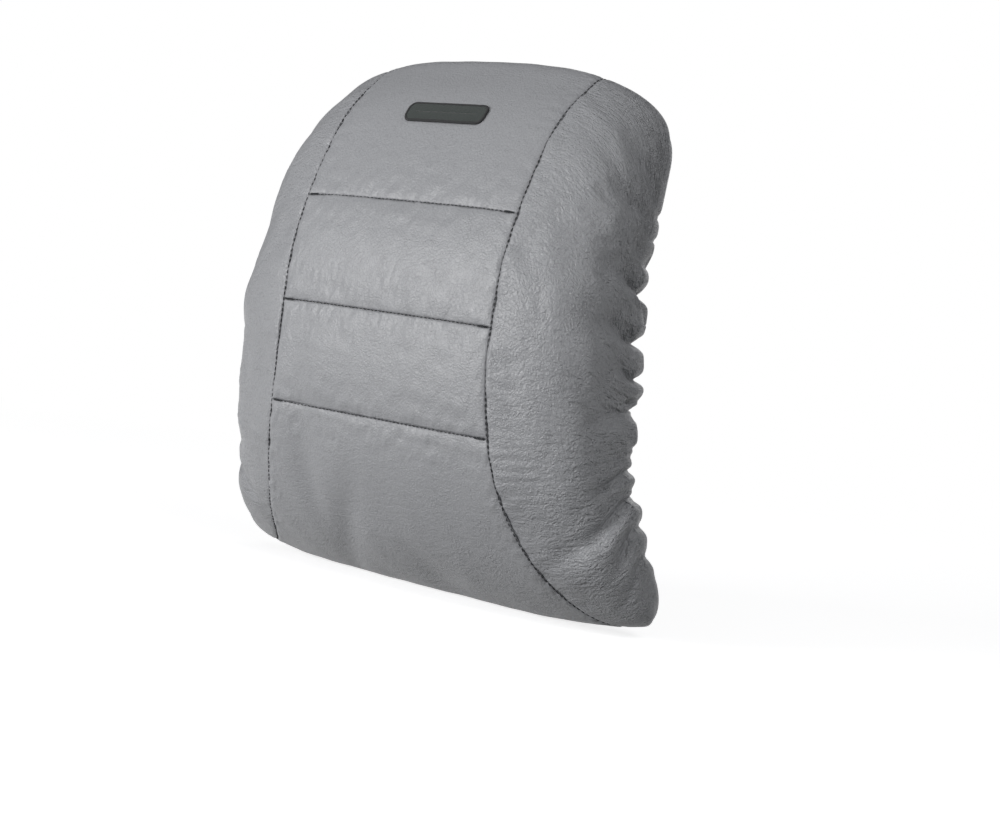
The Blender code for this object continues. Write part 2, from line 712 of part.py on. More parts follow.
def make_strap(webbing, closure, collection):
    tab_back = REST_GAP + STRAP_THICKNESS
    loop_back = tab_back + REST_GAP + PATCH_THICKNESS
    hook_back = loop_back + REST_GAP + PATCH_THICKNESS
    strap_back = hook_back + REST_GAP + STRAP_THICKNESS
    flat_back = REST_GAP + STRAP_THICKNESS
    patch_low = TAB_END - PATCH_MARGIN - PATCH_LENGTH
    patch_high = TAB_END - PATCH_MARGIN
    patch_width = STRAP_WIDTH - 2 * PATCH_MARGIN
    ribbon("strap_tab", [(tab_back, TAB_END), (tab_back, TAB_FOOT)],
           STRAP_WIDTH, STRAP_THICKNESS, webbing, collection)
    ribbon("loop_patch", [(loop_back, patch_high), (loop_back, patch_low)],
           patch_width, PATCH_THICKNESS, closure, collection)
    ribbon("hook_patch", [(hook_back, patch_high), (hook_back, patch_low)],
           patch_width, PATCH_THICKNESS, closure, collection)
    bend = np.linspace(0.0, 1.0, 9)
    ease = bend * bend * (3 - 2 * bend)
    clear = TAB_END + TAB_CLEARANCE
    path = [(flat_back, STRAP_TOP)]
    path += [(flat_back + (strap_back - flat_back) * s, clear + STRAP_RAMP * (1 - t))
             for t, s in zip(bend, ease)]
    path += [(strap_back, STRAP_END)]
    ribbon("headrest_strap", path, STRAP_WIDTH, STRAP_THICKNESS, webbing, collection)


def main():
    clear_scene()
    scene = bpy.context.scene
    collection = bpy.data.collections.new(COLLECTION)
    cutters = bpy.data.collections.new("cutters")
    scene.collection.children.link(collection)
    scene.collection.children.link(cutters)
    leather = make_material("leather", 0.45)
    fabric = make_material("back_fabric", 0.85)
    metal = make_material("zip_metal", 0.35, 1.0)
    make_centre_sections(leather, collection)
    make_side_panels(leather, collection)
    make_badge(make_material("badge", 0.7), collection)
    make_foam_core(make_material("foam", 0.9), collection)
    make_back(fabric, collection)
    make_side_elastics(make_material("elastic", 0.8), collection)
    make_zip(make_material("zip_tape", 0.85), make_material("zip_plastic", 0.45), metal,
             collection, cutters)
    make_strap(make_material("webbing", 0.8), make_material("hook_and_loop", 0.9), collection)


main()
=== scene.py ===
# Headrest neck cushion in gathered grey leather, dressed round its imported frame
import math

import bmesh
import bpy
import numpy as np
from mathutils import Matrix, Vector


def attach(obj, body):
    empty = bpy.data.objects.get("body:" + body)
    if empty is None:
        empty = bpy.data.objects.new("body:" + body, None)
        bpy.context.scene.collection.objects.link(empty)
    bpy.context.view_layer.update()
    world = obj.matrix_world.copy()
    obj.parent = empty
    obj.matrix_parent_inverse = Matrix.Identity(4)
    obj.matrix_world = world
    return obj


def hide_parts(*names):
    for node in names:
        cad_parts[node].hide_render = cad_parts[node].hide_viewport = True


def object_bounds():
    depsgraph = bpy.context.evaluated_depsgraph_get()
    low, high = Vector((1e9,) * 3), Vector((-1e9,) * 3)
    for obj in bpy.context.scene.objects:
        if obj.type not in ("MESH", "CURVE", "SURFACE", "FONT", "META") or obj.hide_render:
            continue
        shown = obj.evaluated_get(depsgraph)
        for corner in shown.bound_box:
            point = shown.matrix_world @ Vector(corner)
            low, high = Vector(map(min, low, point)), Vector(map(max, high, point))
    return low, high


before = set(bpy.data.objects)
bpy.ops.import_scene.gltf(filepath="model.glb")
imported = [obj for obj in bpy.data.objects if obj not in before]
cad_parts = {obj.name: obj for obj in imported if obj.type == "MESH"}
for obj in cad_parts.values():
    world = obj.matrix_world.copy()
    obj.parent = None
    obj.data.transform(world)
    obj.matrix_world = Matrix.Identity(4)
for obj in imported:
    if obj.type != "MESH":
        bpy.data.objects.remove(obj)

cadLow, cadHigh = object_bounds()
print("frame loaded, height", round(cadHigh.z - cadLow.z, 4))

# Stuffed cover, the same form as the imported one, in metres
coverForm = {
    "hemHeight": 0.2557, "crestHeight": 0.277, "strapHeight": 0.128,
    "topWidth": 0.227, "waistWidth": 0.244, "footWidth": 0.306, "cornerRadius": 0.026,
    "bellyDepth": 0.085, "rimSetback": 0.033, "hemReturn": 0.028, "returnPower": 1.33,
    "profile": ((0.235, 1.000), (0.420, 0.970), (0.725, 0.852), (0.986, 0.600),
                (0.937, 0.293), (0.661, 0.098), (0.244, -0.011)),  # shares of belly depth and crest height
    "squareness": (2.05, 4.8, 3.35),                             # at the top, the waist and the foot
    "leather": 0.0012,
}
seamForm = {
    "centreTop": 0.150, "centreWaist": 0.1436, "centreFoot": 0.292, "waistDown": 0.55,
    "footSweep": 1.64, "sideLeast": 0.012, "crossSeams": (0.45, 0.54, 0.62),
    "gap": 0.0001, "dip": 0.0007, "roll": 0.0030, "crown": 0.0012,
    "allowance": 0.0030,
}


# Surface of the cover

def smooth(t):
    t = np.clip(t, 0.0, 1.0)
    return t * t * (3 - 2 * t)


def zOf(height):
    return height - coverForm["strapHeight"]


def spline(points, t):
    # Catmull-Rom curve through the points, or through the rows of an array, t from 0 to 1
    points = np.asarray(points, float)
    last = len(points) - 1
    ends = np.concatenate([2 * points[:1] - points[1:2], points, 2 * points[-1:] - points[-2:-1]])
    s = np.clip(t, 0.0, 1.0) * last
    i = np.minimum(s.astype(int), last - 1)
    f = (s - i).reshape(s.shape + (1,) * (points.ndim - 1))
    a, b, c, d = ends[i], ends[i + 1], ends[i + 2], ends[i + 3]
    return 0.5 * (2 * b + (c - a) * f + (2 * a - 5 * b + 4 * c - d) * f**2
                  + (3 * b - a - 3 * c + d) * f**3)


def profileAt(v):
    # Depth and height down the middle of the front, v from the top hem to the bottom hem
    form = coverForm
    middle = [(y * form["bellyDepth"], z * form["crestHeight"]) for y, z in form["profile"]]
    return spline([(0.0, form["hemHeight"])] + middle + [(0.0, 0.0)], v)


def hemHeightAt(v):
    t = 1 - 2 * v
    return 0.5 * coverForm["hemHeight"] * (1 + t * (1 + (1 - t**8) / 8))


def halfWidthAt(v):
    # Parabola through the three widths, with rounded corners at both hems
    form = coverForm
    w = 0.5 * (form["topWidth"] * (1 - v) * (1 - 2 * v) + 4 * form["waistWidth"] * v * (1 - v)
               + form["footWidth"] * v * (2 * v - 1))
    height = hemHeightAt(v)
    radius = form["cornerRadius"]
    inside = np.clip(radius - np.minimum(height, form["hemHeight"] - height), 0.0, radius)
    return w - radius + np.sqrt(radius**2 - inside**2)


def sideFadeAt(v):
    # One where the cushion is deep, zero at the two hems
    shallow = 0.7 * profileAt(v)[..., 0] / coverForm["rimSetback"]
    return shallow / (1 + np.maximum(shallow, 0.0)**3)**(1 / 3)


def seamXAt(v):
    # Half the width of the centre panel: narrow at the waist, sweeping out to the foot
    form = seamForm
    above = np.clip((form["waistDown"] - v) / form["waistDown"], 0.0, None)
    below = np.clip((v - form["waistDown"]) / (1 - form["waistDown"]), 0.0, None)
    wanted = 0.5 * (form["centreWaist"] + (form["centreTop"] - form["centreWaist"]) * above**2
                    + (form["centreFoot"] - form["centreWaist"]) * below**form["footSweep"])
    most = halfWidthAt(v) - form["sideLeast"]
    return 0.5 * (wanted + most - np.sqrt((wanted - most)**2 + (0.5 * form["sideLeast"])**2))


def squarenessAt(v):
    return np.interp(v, (0.0, 0.5, 1.0), coverForm["squareness"])


def frontPoint(v, x):
    # A superellipse across the profile: reach falls from one in the middle to zero at the rim
    n = squarenessAt(v)
    reach = np.clip(1 - np.clip(np.abs(x) / halfWidthAt(v), 0.0, 1.0)**n, 0.0, 1.0)**(1 / n)
    middle = profileAt(v)
    setback = coverForm["rimSetback"] * sideFadeAt(v)
    hem = hemHeightAt(v)
    y = -setback - (middle[..., 0] - setback) * reach
    z = hem + (middle[..., 1] - hem) * reach
    return np.stack([x + 0 * y, y, zOf(z)], axis=-1)


def sidePoint(v, c, start):
    # c goes from 0 at the seam to 1 at the rim, then round a flattened quarter turn to 2 at the hem
    n = squarenessAt(v)
    w = halfWidthAt(v)
    fromAngle = np.arcsin(np.clip(start / w, 0.0, 1.0)**(n / 2))
    angle = fromAngle + (math.pi / 2 - fromAngle) * np.clip(c, 0.0, 1.0)
    front = frontPoint(v, w * np.sin(angle)**(2 / n))
    turn = np.clip(c - 1, 0.0, 1.0) * math.pi / 2
    fade = sideFadeAt(v)
    inward = 1 - np.clip(np.cos(turn), 0.0, 1.0)**coverForm["returnPower"]
    rearward = np.sin(turn)**coverForm["returnPower"]
    back = np.stack([w - coverForm["hemReturn"] * fade * inward,
                     -coverForm["rimSetback"] * fade * (1 - rearward),
                     zOf(hemHeightAt(v)) + 0 * c], axis=-1)
    return np.where((c > 1)[..., None], back, front)


def hemXAt(v):
    return halfWidthAt(v) - coverForm["hemReturn"] * sideFadeAt(v)


def gridNormals(grid):
    # Cross product of the steps down and across, so rows run down and columns run towards +X
    normal = np.cross(np.gradient(grid, axis=0), np.gradient(grid, axis=1))
    length = np.linalg.norm(normal, axis=-1, keepdims=True)
    return np.where(length > 1e-12, normal / np.maximum(length, 1e-12), 0.0)


def runAlong(points):
    # Length along the points from the first one, at each of them
    return np.concatenate([[0.0], np.cumsum(np.linalg.norm(np.diff(points, axis=0), axis=1))])


def unit(vectors):
    return vectors / np.maximum(np.linalg.norm(vectors, axis=-1, keepdims=True), 1e-12)


def ripple(u, w, wave, stretch, seed, count=9):
    # Sum of sine waves about one wavelength across u, stretched along w, with seeded directions
    rng = np.random.default_rng(seed)
    total = np.zeros(np.broadcast(u, w).shape)
    for _ in range(count):
        across = 2 * math.pi / (wave * rng.uniform(0.7, 1.5))
        along = rng.normal(0.0, 1.0) * 2 * math.pi / (wave * stretch)
        total += np.sin(across * u + along * w + rng.uniform(0, 2 * math.pi))
    return total / math.sqrt(count / 2)


# Mesh making

def meshObject(name, points, faces, material):
    mesh = bpy.data.meshes.new(name)
    mesh.from_pydata(np.asarray(points).reshape(-1, 3).tolist(), [], np.asarray(faces).tolist())
    mesh.materials.append(material)
    mesh.shade_smooth()
    obj = bpy.data.objects.new(name, mesh)
    bpy.context.scene.collection.objects.link(obj)
    return obj


def gridFaces(rows, columns, wrap=False, closed=False):
    # wrap joins the last column to the first one, and closed the last row to the first one
    index = np.arange(rows * columns).reshape(rows, columns)
    if wrap:
        index = np.concatenate([index, index[:, :1]], axis=1)
    if closed:
        index = np.concatenate([index, index[:1]], axis=0)
    return np.stack([index[:-1, :-1], index[1:, :-1], index[1:, 1:], index[:-1, 1:]], -1).reshape(-1, 4)


def setAttribute(obj, name, values, kind="FLOAT"):
    layer = obj.data.attributes.new(name, kind, "POINT")
    key = "value" if kind == "FLOAT" else "vector"
    layer.data.foreach_set(key, np.ascontiguousarray(values, np.float32).ravel())


def mergeDoubles(obj, distance=1e-6, closed=False):
    # Merges doubles; a closed mesh also has its faces turned outwards
    work = bmesh.new()
    work.from_mesh(obj.data)
    bmesh.ops.remove_doubles(work, verts=work.verts, dist=distance)
    if closed:
        bmesh.ops.recalc_face_normals(work, faces=work.faces)
    work.to_mesh(obj.data)
    work.free()


def faceFront(obj):
    # Turns an open sheet's faces towards the front
    work = bmesh.new()
    work.from_mesh(obj.data)
    if sum(face.normal.y * face.calc_area() for face in work.faces) > 0:
        bmesh.ops.reverse_faces(work, faces=work.faces)
    work.to_mesh(obj.data)
    work.free()


def addWall(obj, thickness):
    # Thickens a sheet inwards from its outer face
    wall = obj.modifiers.new("wall", "SOLIDIFY")
    wall.thickness = thickness
    wall.offset = -1.0
    wall.use_even_offset = False


def dress(obj, body="cushion", replaces=()):
    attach(obj, body)
    if replaces:
        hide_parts(*replaces)
    return obj


# Materials

class Nodes:
    # A small hand for wiring shader nodes
    def __init__(self, name, color, roughness, metallic=0.0):
        self.material = bpy.data.materials.new(name)
        self.material.use_nodes = True
        self.tree = self.material.node_tree
        self.shader = self.tree.nodes["Principled BSDF"]
        self.shader.inputs["Base Color"].default_value = (*color, 1.0)
        self.shader.inputs["Roughness"].default_value = roughness
        self.shader.inputs["Metallic"].default_value = metallic
        self.object = self.tree.nodes.new("ShaderNodeTexCoord").outputs["Object"]

    def put(self, target, value):
        if isinstance(value, bpy.types.NodeSocket):
            self.tree.links.new(value, target)
        else:
            target.default_value = value

    def add(self, kind, values=None, **settings):
        node = self.tree.nodes.new("ShaderNode" + kind)
        for key, value in settings.items():
            setattr(node, key, value)
        for key, value in (values or {}).items():
            self.put(node.inputs[key], value)
        return node

    def math(self, operation, a, b=0.0):
        return self.add("Math", {0: a, 1: b}, operation=operation).outputs[0]

    def line(self, value, slope, start):
        # slope times the value, plus start
        return self.math("ADD", self.math("MULTIPLY", value, slope), start)

    def scaled(self, source, factors):
        return self.add("VectorMath", {0: source, 1: factors}, operation="MULTIPLY").outputs[0]

    def noise(self, vector, scale, detail=2.0, roughness=0.5):
        values = {"Vector": vector, "Scale": scale, "Detail": detail, "Roughness": roughness}
        return self.add("TexNoise", values).outputs["Fac"]

    def ramp(self, fac, low, high):
        # Runs smoothly from zero at low to one at high
        node = self.add("MapRange", {"Value": fac, "From Min": low, "From Max": high},
                        interpolation_type="SMOOTHSTEP")
        return node.outputs["Result"]

    def attribute(self, name):
        return self.add("Attribute", attribute_name=name)

    def mixColor(self, fac, a, b):
        node = self.tree.nodes.new("ShaderNodeMix")
        node.data_type = "RGBA"
        self.put(node.inputs["Factor"], fac)
        self.put(node.inputs["A"], a)
        self.put(node.inputs["B"], b)
        return node.outputs["Result"]

    def bump(self, height, distance, normal=None, strength=1.0):
        values = {"Height": height, "Distance": distance, "Strength": strength}
        if normal is not None:
            values["Normal"] = normal
        return self.add("Bump", values).outputs["Normal"]

    def use(self, socket, value):
        self.put(self.shader.inputs[socket], value)


leatherLook = {
    # the second colour is painted shade for the grooves between the pebbles
    "color": (0.350, 0.355, 0.371), "grooveShade": (0.235, 0.239, 0.251), "roughness": 0.40,
    "pebble": 900.0, "pebbleDepth": 0.00036, "pore": 2100.0, "poreDepth": 0.00004,
    "creaseDepth": 0.0006, "softDepth": 0.0004, "wrinkleDepth": 0.00125,
    # scales of the patterns, per metre, and how far the bend and the drift carry them
    "bendScale": 420.0, "bend": 0.0011, "patchScale": 95.0, "softScale": 55.0, "driftScale": 60.0,
    "drift": 0.012, "creases": (90.0, 520.0, 0.0), "broad": (34.0, 150.0, 0.0), "milled": (330.0, 880.0, 0.0),
}


def leatherMaterial():
    # Pebble grain from cells bent by noise, broken by soft patches, with fine creases near the gathers; the
    # base colour is painted shade, darker in the grooves between pebbles, times a random patch tone
    look = leatherLook
    n = Nodes("greyLeather", look["color"], look["roughness"])
    bend = n.add("TexNoise", {"Vector": n.object, "Scale": look["bendScale"], "Detail": 2.0}).outputs["Color"]
    bent = n.add("VectorMath", {0: bend, 1: (look["bend"],) * 3, 2: n.object},
                 operation="MULTIPLY_ADD").outputs[0]
    cells = n.add("TexVoronoi", {"Vector": bent, "Scale": look["pebble"], "Randomness": 1.0},
                  feature="SMOOTH_F1")
    cells.inputs["Smoothness"].default_value = 0.35
    dome = n.ramp(cells.outputs["Distance"], 0.75, 0.12)
    edge = n.add("TexVoronoi", {"Vector": bent, "Scale": look["pebble"] * 0.62, "Randomness": 1.0},
                 feature="DISTANCE_TO_EDGE").outputs["Distance"]
    groove = n.ramp(edge, 0.0, 0.16)
    pores = n.noise(n.object, look["pore"], 2.0, 0.6)
    patch = n.noise(n.object, look["patchScale"])
    amount = n.ramp(patch, 0.30, 0.72)
    pebble = n.math("ADD", n.math("MULTIPLY", dome, 0.70), n.math("MULTIPLY", groove, 0.30))
    flow = n.attribute("foldFlow").outputs["Vector"]
    fold = n.attribute("foldAmount").outputs["Fac"]
    pebble = n.math("MULTIPLY", pebble, n.line(amount, 0.45, 0.55))
    pebble = n.math("MULTIPLY", pebble, n.line(fold, 0.9, 0.35))

    lines = n.noise(n.scaled(flow, look["creases"]), 1.0, 3.0, 0.55)
    broad = n.noise(n.scaled(flow, look["broad"]), 1.0)
    creases = n.math("MULTIPLY", n.ramp(lines, 0.30, 0.62), fold)
    drift = n.add("TexNoise", {"Vector": flow, "Scale": look["driftScale"], "Detail": 1.0}).outputs["Color"]
    wander = n.add("VectorMath", {0: drift, 1: (look["drift"], look["drift"], 0.0), 2: flow},
                   operation="MULTIPLY_ADD").outputs[0]
    milled = n.noise(n.scaled(wander, look["milled"]), 1.0, 2.0, 0.55)
    milled = n.math("MULTIPLY", milled, n.line(fold, 1.0, 0.10))
    soft = n.math("MULTIPLY", broad, fold)

    normal = n.bump(n.noise(n.object, look["softScale"]), look["softDepth"], strength=0.15)
    normal = n.bump(soft, look["softDepth"], normal)
    normal = n.bump(creases, look["creaseDepth"], normal)
    normal = n.bump(milled, look["wrinkleDepth"], normal)
    normal = n.bump(pebble, look["pebbleDepth"], normal)
    normal = n.bump(pores, look["poreDepth"], normal)
    n.use("Normal", normal)
    # painted shade: the colour darkens towards the groove colour near the cell edges, with a random patch
    # tone on top
    tone = n.math("MULTIPLY", n.ramp(edge, 0.0, 0.10), n.line(patch, 0.12, 0.86))
    n.use("Base Color", n.mixColor(n.line(tone, 0.55, 0.45), (*look["grooveShade"], 1.0), (*look["color"], 1.0)))
    n.use("Roughness", n.line(patch, 0.10, look["roughness"] - 0.05))
    return n.material


def threadMaterial():
    # Twisted dark thread: fine diagonal bands over a matt base, with a painted highlight making the raised
    # bands lighter
    n = Nodes("darkThread", (0.035, 0.036, 0.040), 0.62)
    band = n.add("TexWave", {"Vector": n.object, "Scale": 1500.0, "Distortion": 1.5}, wave_type="BANDS",
                 bands_direction="DIAGONAL").outputs["Fac"]
    n.use("Normal", n.bump(band, 0.00012))
    # painted highlight: lighter colour on the raised bands, darker in between
    n.use("Base Color", n.mixColor(band, (0.022, 0.023, 0.026, 1.0), (0.055, 0.057, 0.063, 1.0)))
    return n.material


def weaveMaterial(name, color, paintedHighlight, threads, depth, roughness=0.82, twill=False):
    # Crossed sine bands of warp and weft on the piece's own flat coordinates, in metres; the colour is
    # painted shade and highlight, lighter on the raised crossings and darker in the hollows, with random fuzz
    n = Nodes(name, color, roughness)
    flow = n.attribute("clothFlow").outputs["Vector"]
    parts = n.add("SeparateXYZ", {0: flow})
    u = n.math("MULTIPLY", parts.outputs[0], threads * 2 * math.pi)
    v = n.math("MULTIPLY", parts.outputs[1], threads * 2 * math.pi)
    if twill:
        v = n.math("ADD", v, n.math("MULTIPLY", u, 0.5))
    warp = n.math("SINE", u)
    weft = n.math("SINE", v)
    height = n.line(n.math("MULTIPLY", warp, weft), 0.35, 0.5)
    fuzz = n.noise(n.object, 2600.0, 2.0, 0.6)
    normal = n.bump(height, depth)
    normal = n.bump(fuzz, depth * 0.4, normal)
    n.use("Normal", normal)
    # painted shade and highlight: raised crossings take the lighter colour, hollows the darker one, with a
    # random fuzz tone mixed in
    tone = n.math("ADD", n.math("MULTIPLY", height, 0.7), n.math("MULTIPLY", fuzz, 0.3))
    n.use("Base Color", n.mixColor(tone, (*color, 1.0), (*paintedHighlight, 1.0)))
    n.use("Sheen Weight", 0.15)
    return n.material


def foamMaterial():
    n = Nodes("pouredFoam", (0.62, 0.60, 0.52), 0.9)
    # painted shade: the pits of the pores are painted darker than the cell walls round them
    pores = n.add("TexVoronoi", {"Vector": n.object, "Scale": 900.0}).outputs["Distance"]
    n.use("Normal", n.bump(pores, 0.0005))
    n.use("Base Color", n.mixColor(pores, (0.44, 0.42, 0.35, 1.0), (0.66, 0.64, 0.56, 1.0)))
    return n.material


def plasticMaterial():
    n = Nodes("mouldedPlastic", (0.022, 0.022, 0.024), 0.38)
    grain = n.noise(n.object, 1800.0, 2.0, 0.5)
    n.use("Normal", n.bump(grain, 0.00004))
    n.use("Roughness", n.line(grain, 0.2, 0.28))
    return n.material


def metalMaterial():
    n = Nodes("nickelPlate", (0.42, 0.42, 0.43), 0.26, 1.0)
    cloud = n.noise(n.object, 700.0, 3.0, 0.6)
    n.use("Roughness", n.line(cloud, 0.22, 0.16))
    n.use("Normal", n.bump(n.noise(n.object, 2400.0, 1.0, 0.5), 0.00002))
    return n.material


def pileMaterial():
    # Hook-and-loop pile: a dense tangle of tiny loops, with painted shade darkening the pits among them
    n = Nodes("closurePile", (0.018, 0.018, 0.020), 0.95)
    loops = n.add("TexVoronoi", {"Vector": n.object, "Scale": 1300.0}).outputs["Distance"]
    n.use("Normal", n.bump(loops, 0.0006))
    # painted shade: darker colour in the pits, lighter on the raised loops
    n.use("Base Color", n.mixColor(loops, (0.008, 0.008, 0.009, 1.0), (0.040, 0.040, 0.044, 1.0)))
    n.use("Sheen Weight", 0.3)
    return n.material


leather = leatherMaterial()
thread = threadMaterial()
foam = foamMaterial()
plastic = plasticMaterial()
metal = metalMaterial()
pile = pileMaterial()
backCloth = weaveMaterial("backCloth", (0.038, 0.040, 0.044), (0.085, 0.088, 0.094), 1300.0, 0.00022)
elasticCloth = weaveMaterial("elasticCloth", (0.030, 0.031, 0.034), (0.070, 0.072, 0.078), 900.0, 0.00030)
tapeCloth = weaveMaterial("tapeCloth", (0.026, 0.027, 0.030), (0.060, 0.062, 0.068), 1500.0, 0.00016,
                          twill=True)
webbingCloth = weaveMaterial("webbingCloth", (0.018, 0.019, 0.021), (0.048, 0.050, 0.054), 620.0, 0.00045)
badgeCloth = weaveMaterial("badgeCloth", (0.020, 0.026, 0.024), (0.046, 0.056, 0.052), 2200.0, 0.00010,
                           twill=True)
badgeEdge = weaveMaterial("badgeEdge", (0.014, 0.014, 0.015), (0.034, 0.034, 0.036), 1800.0, 0.00010)
print("materials ready")


# Centre sections

centreLook = {
    "step": 0.00115,
    "pucker": 0.00016, "puckerReach": 0.016,
    # soft dimples: share of the way down, x, half length down, half width, lean, depth
    "dimples": ((0.668, -0.053, 0.030, 0.009, 0.10, 0.0022), (0.775, -0.033, 0.030, 0.010, -0.45, 0.0020),
                (0.640, -0.036, 0.014, 0.012, 0.0, 0.0008), (0.826, 0.024, 0.016, 0.016, 0.30, 0.0016),
                (0.500, 0.048, 0.020, 0.016, 0.0, 0.0007), (0.740, 0.060, 0.030, 0.020, 0.2, 0.0009)),
}


def dimpleDepth(v, x):
    total = np.zeros_like(v)
    for down, across, halfDown, halfAcross, lean, depth in centreLook["dimples"]:
        along = (v - down) * coverForm["hemHeight"] * 1.35
        aside = x - across - lean * along
        total += depth * np.exp(-(along / halfDown)**2 - (aside / halfAcross)**2)
    return total


def seamDip(distance):
    # A rounded roll down into the seam: deepest at the thread, level after the roll's width
    t = np.clip(1 - distance / seamForm["roll"], 0.0, 1.0)
    return seamForm["dip"] * t * t


def crownAt(v, x, top, foot):
    # Each section swells a little between its seams
    along = np.clip((v - top) / (foot - top), 0.0, 1.0)
    half = seamXAt(v) - seamForm["gap"] / 2
    return seamForm["crown"] * np.sin(math.pi * along) * (1 - np.clip(x / half, -1.0, 1.0)**4)


def turnedIn(points, normals, sides):
    # At each seam the leather's edge turns down beside its neighbour's: two more rows or columns at that edge
    # sides says which of the first and last row and column do
    for axis, where in sides:
        edge = points.take([where], axis=axis)
        up = normals.take([where], axis=axis)
        near = edge - up * 0.5 * seamForm["allowance"]
        far = edge - up * seamForm["allowance"]
        order = [far, near, points] if where == 0 else [points, near, far]
        rims = [up, up, normals] if where == 0 else [normals, up, up]
        points = np.concatenate(order, axis=axis)
        normals = np.concatenate(rims, axis=axis)
    return points


def widened(values, sides):
    # The values at the edges again, for the turned-in rows and columns
    widths = [[0, 0] for _ in range(values.ndim)]
    for axis, where in sides:
        widths[axis][0 if where == 0 else 1] = 2
    return np.pad(values, widths, mode="edge")


def centreSurface(v, x, top, foot, openTop, openFoot):
    # Front surface with the section's crown, less the dips at its seams, puckers and dimples
    half = seamXAt(v) - seamForm["gap"] / 2
    grid = frontPoint(v, x)
    crown = crownAt(v, x, top, foot)
    toSide = half - np.abs(x)
    dip = seamDip(toSide)
    length = coverForm["hemHeight"] * 1.25
    near = toSide
    if openTop:
        dip = np.maximum(dip, seamDip((v - top) * length))
        near = np.minimum(near, (v - top) * length)
    if openFoot:
        dip = np.maximum(dip, seamDip((foot - v) * length))
        near = np.minimum(near, (foot - v) * length)
    fade = np.clip(1 - near / centreLook["puckerReach"], 0.0, 1.0)
    pucker = centreLook["pucker"] * fade * ripple(v * length, x, 0.0075, 2.2, 11)
    pucker += 0.6 * centreLook["pucker"] * fade * ripple(x, v * length, 0.0060, 1.6, 12)
    swell = 0.00012 * ripple(v * length, x, 0.050, 1.3, 13)
    ends = np.clip(np.minimum(v, 1 - v) / 0.05, 0.0, 1.0)
    lift = crown - dip + (pucker + swell - dimpleDepth(v, x)) * ends
    normal = gridNormals(grid)
    return grid + normal * lift[..., None], normal


def evenShares(low, high, step):
    # Shares of the way down at even steps along the middle profile
    fine = np.linspace(low, high, 2001)
    length = runAlong(profileAt(fine))
    count = max(int(length[-1] / step), 8)
    return np.interp(np.linspace(0.0, length[-1], count), length, fine)


def makeCentreSections():
    a, b, c = seamForm["crossSeams"]
    halfGap = 0.5 * seamForm["gap"] / coverForm["hemHeight"]
    plan = (
        ("headrest_leather", "headrest_section", 0.0, a - halfGap, False, True),
        ("upper_neck_leather", "upper_neck_section", a + halfGap, b - halfGap, True, True),
        ("lower_neck_leather", "lower_neck_section", b + halfGap, c - halfGap, True, True),
        ("foot_leather", "foot_section", c + halfGap, 1.0, True, False),
    )
    for name, node, top, foot, openTop, openFoot in plan:
        v = evenShares(top, foot, centreLook["step"])[:, None]
        widest = float(np.max(seamXAt(v)))
        t = np.linspace(-1.0, 1.0, int(2 * widest / centreLook["step"]))[None, :]
        v = v + 0 * t
        x = (seamXAt(v) - seamForm["gap"] / 2) * t
        points, normals = centreSurface(v, x, top, foot, openTop, openFoot)
        sides = [(1, 0), (1, -1)] + [(0, 0)] * openTop + [(0, -1)] * openFoot
        points = turnedIn(points, normals, sides)
        obj = meshObject(name, points, gridFaces(*points.shape[:2]), leather)
        flow = np.stack([x, v * coverForm["hemHeight"], 0 * v], axis=-1)
        setAttribute(obj, "foldFlow", widened(flow, sides), "FLOAT_VECTOR")
        setAttribute(obj, "foldAmount", widened(0.10 + 0.25 * smooth((v - 0.62) / 0.3), sides))
        mergeDoubles(obj)
        addWall(obj, coverForm["leather"])
        dress(obj, replaces=[node])


makeCentreSections()
print("centre sections sewn")


# Gathered side panels

gatherLook = {
    "step": 0.00105, "lean": 0.05, "depth": 0.0076, "bulge": 0.0011, "downScale": 0.30, "edge": 0.043,
    "panelWidth": 0.142, "downStep": 1.15, "top": 0.17, "topFade": 0.14, "foot": 0.90, "footFade": 0.12,
    "near": 0.030, "nearFade": 0.055, "hemFade": 0.016,
    "tight": 0.0008, "tightWave": 0.0095, "tightReach": 0.034, "broad": 0.00035, "broadWave": 0.026,
    "pucker": 0.00018, "puckerReach": 0.018, "puckerWave": 0.0070,
    "creased": 0.040, "creasedFade": 0.085, "creasedShare": 0.68,
    # folds: share down at the rim, at half way and at the inland end, that end's distance from the hem,
    # strength and width
    "folds": ((0.231, 0.272, 0.306, 0.084, 0.40, 0.0044), (0.273, 0.345, 0.415, 0.100, 0.30, 0.0026),
              (0.320, 0.345, 0.372, 0.070, 0.22, 0.0050), (0.374, 0.437, 0.470, 0.112, 1.00, 0.0058),
              (0.456, 0.492, 0.526, 0.102, 0.95, 0.0052), (0.516, 0.522, 0.530, 0.074, 0.70, 0.0034),
              (0.550, 0.572, 0.580, 0.110, 0.34, 0.0048), (0.570, 0.592, 0.604, 0.098, 0.95, 0.0046),
              (0.628, 0.634, 0.640, 0.058, 0.35, 0.0030), (0.670, 0.677, 0.677, 0.096, 1.00, 0.0048),
              (0.644, 0.643, 0.650, 0.126, 0.66, 0.0085), (0.717, 0.729, 0.758, 0.108, 0.90, 0.0050),
              (0.700, 0.702, 0.718, 0.128, 0.60, 0.0090), (0.765, 0.778, 0.790, 0.068, 0.45, 0.0050),
              (0.815, 0.826, 0.835, 0.062, 0.35, 0.0050)),
}
clothLook = {
    "rows": 150, "columns": 64, "ends": 0.04, "slack": 0.92, "frames": 25, "cap": 0.0018, "until": 0.74,
    "mass": 0.02, "tension": 30.0, "compression": 8.0, "shear": 2.0, "bending": 4.0, "pressure": 60.0,
    "fade": 0.14, "clearance": 0.001, "foamIn": 0.006,
}


def arcColumns(count):
    # Columns at even steps of arc length from the seam to the hem, at the waist
    c = np.linspace(0.0, 2.0, 40001)
    v = np.full_like(c, 0.5)
    path = sidePoint(v, c, seamXAt(v))
    length = runAlong(path)
    share = np.linspace(0.0, 1.0, count)
    return np.interp(share * length[-1], length, c)


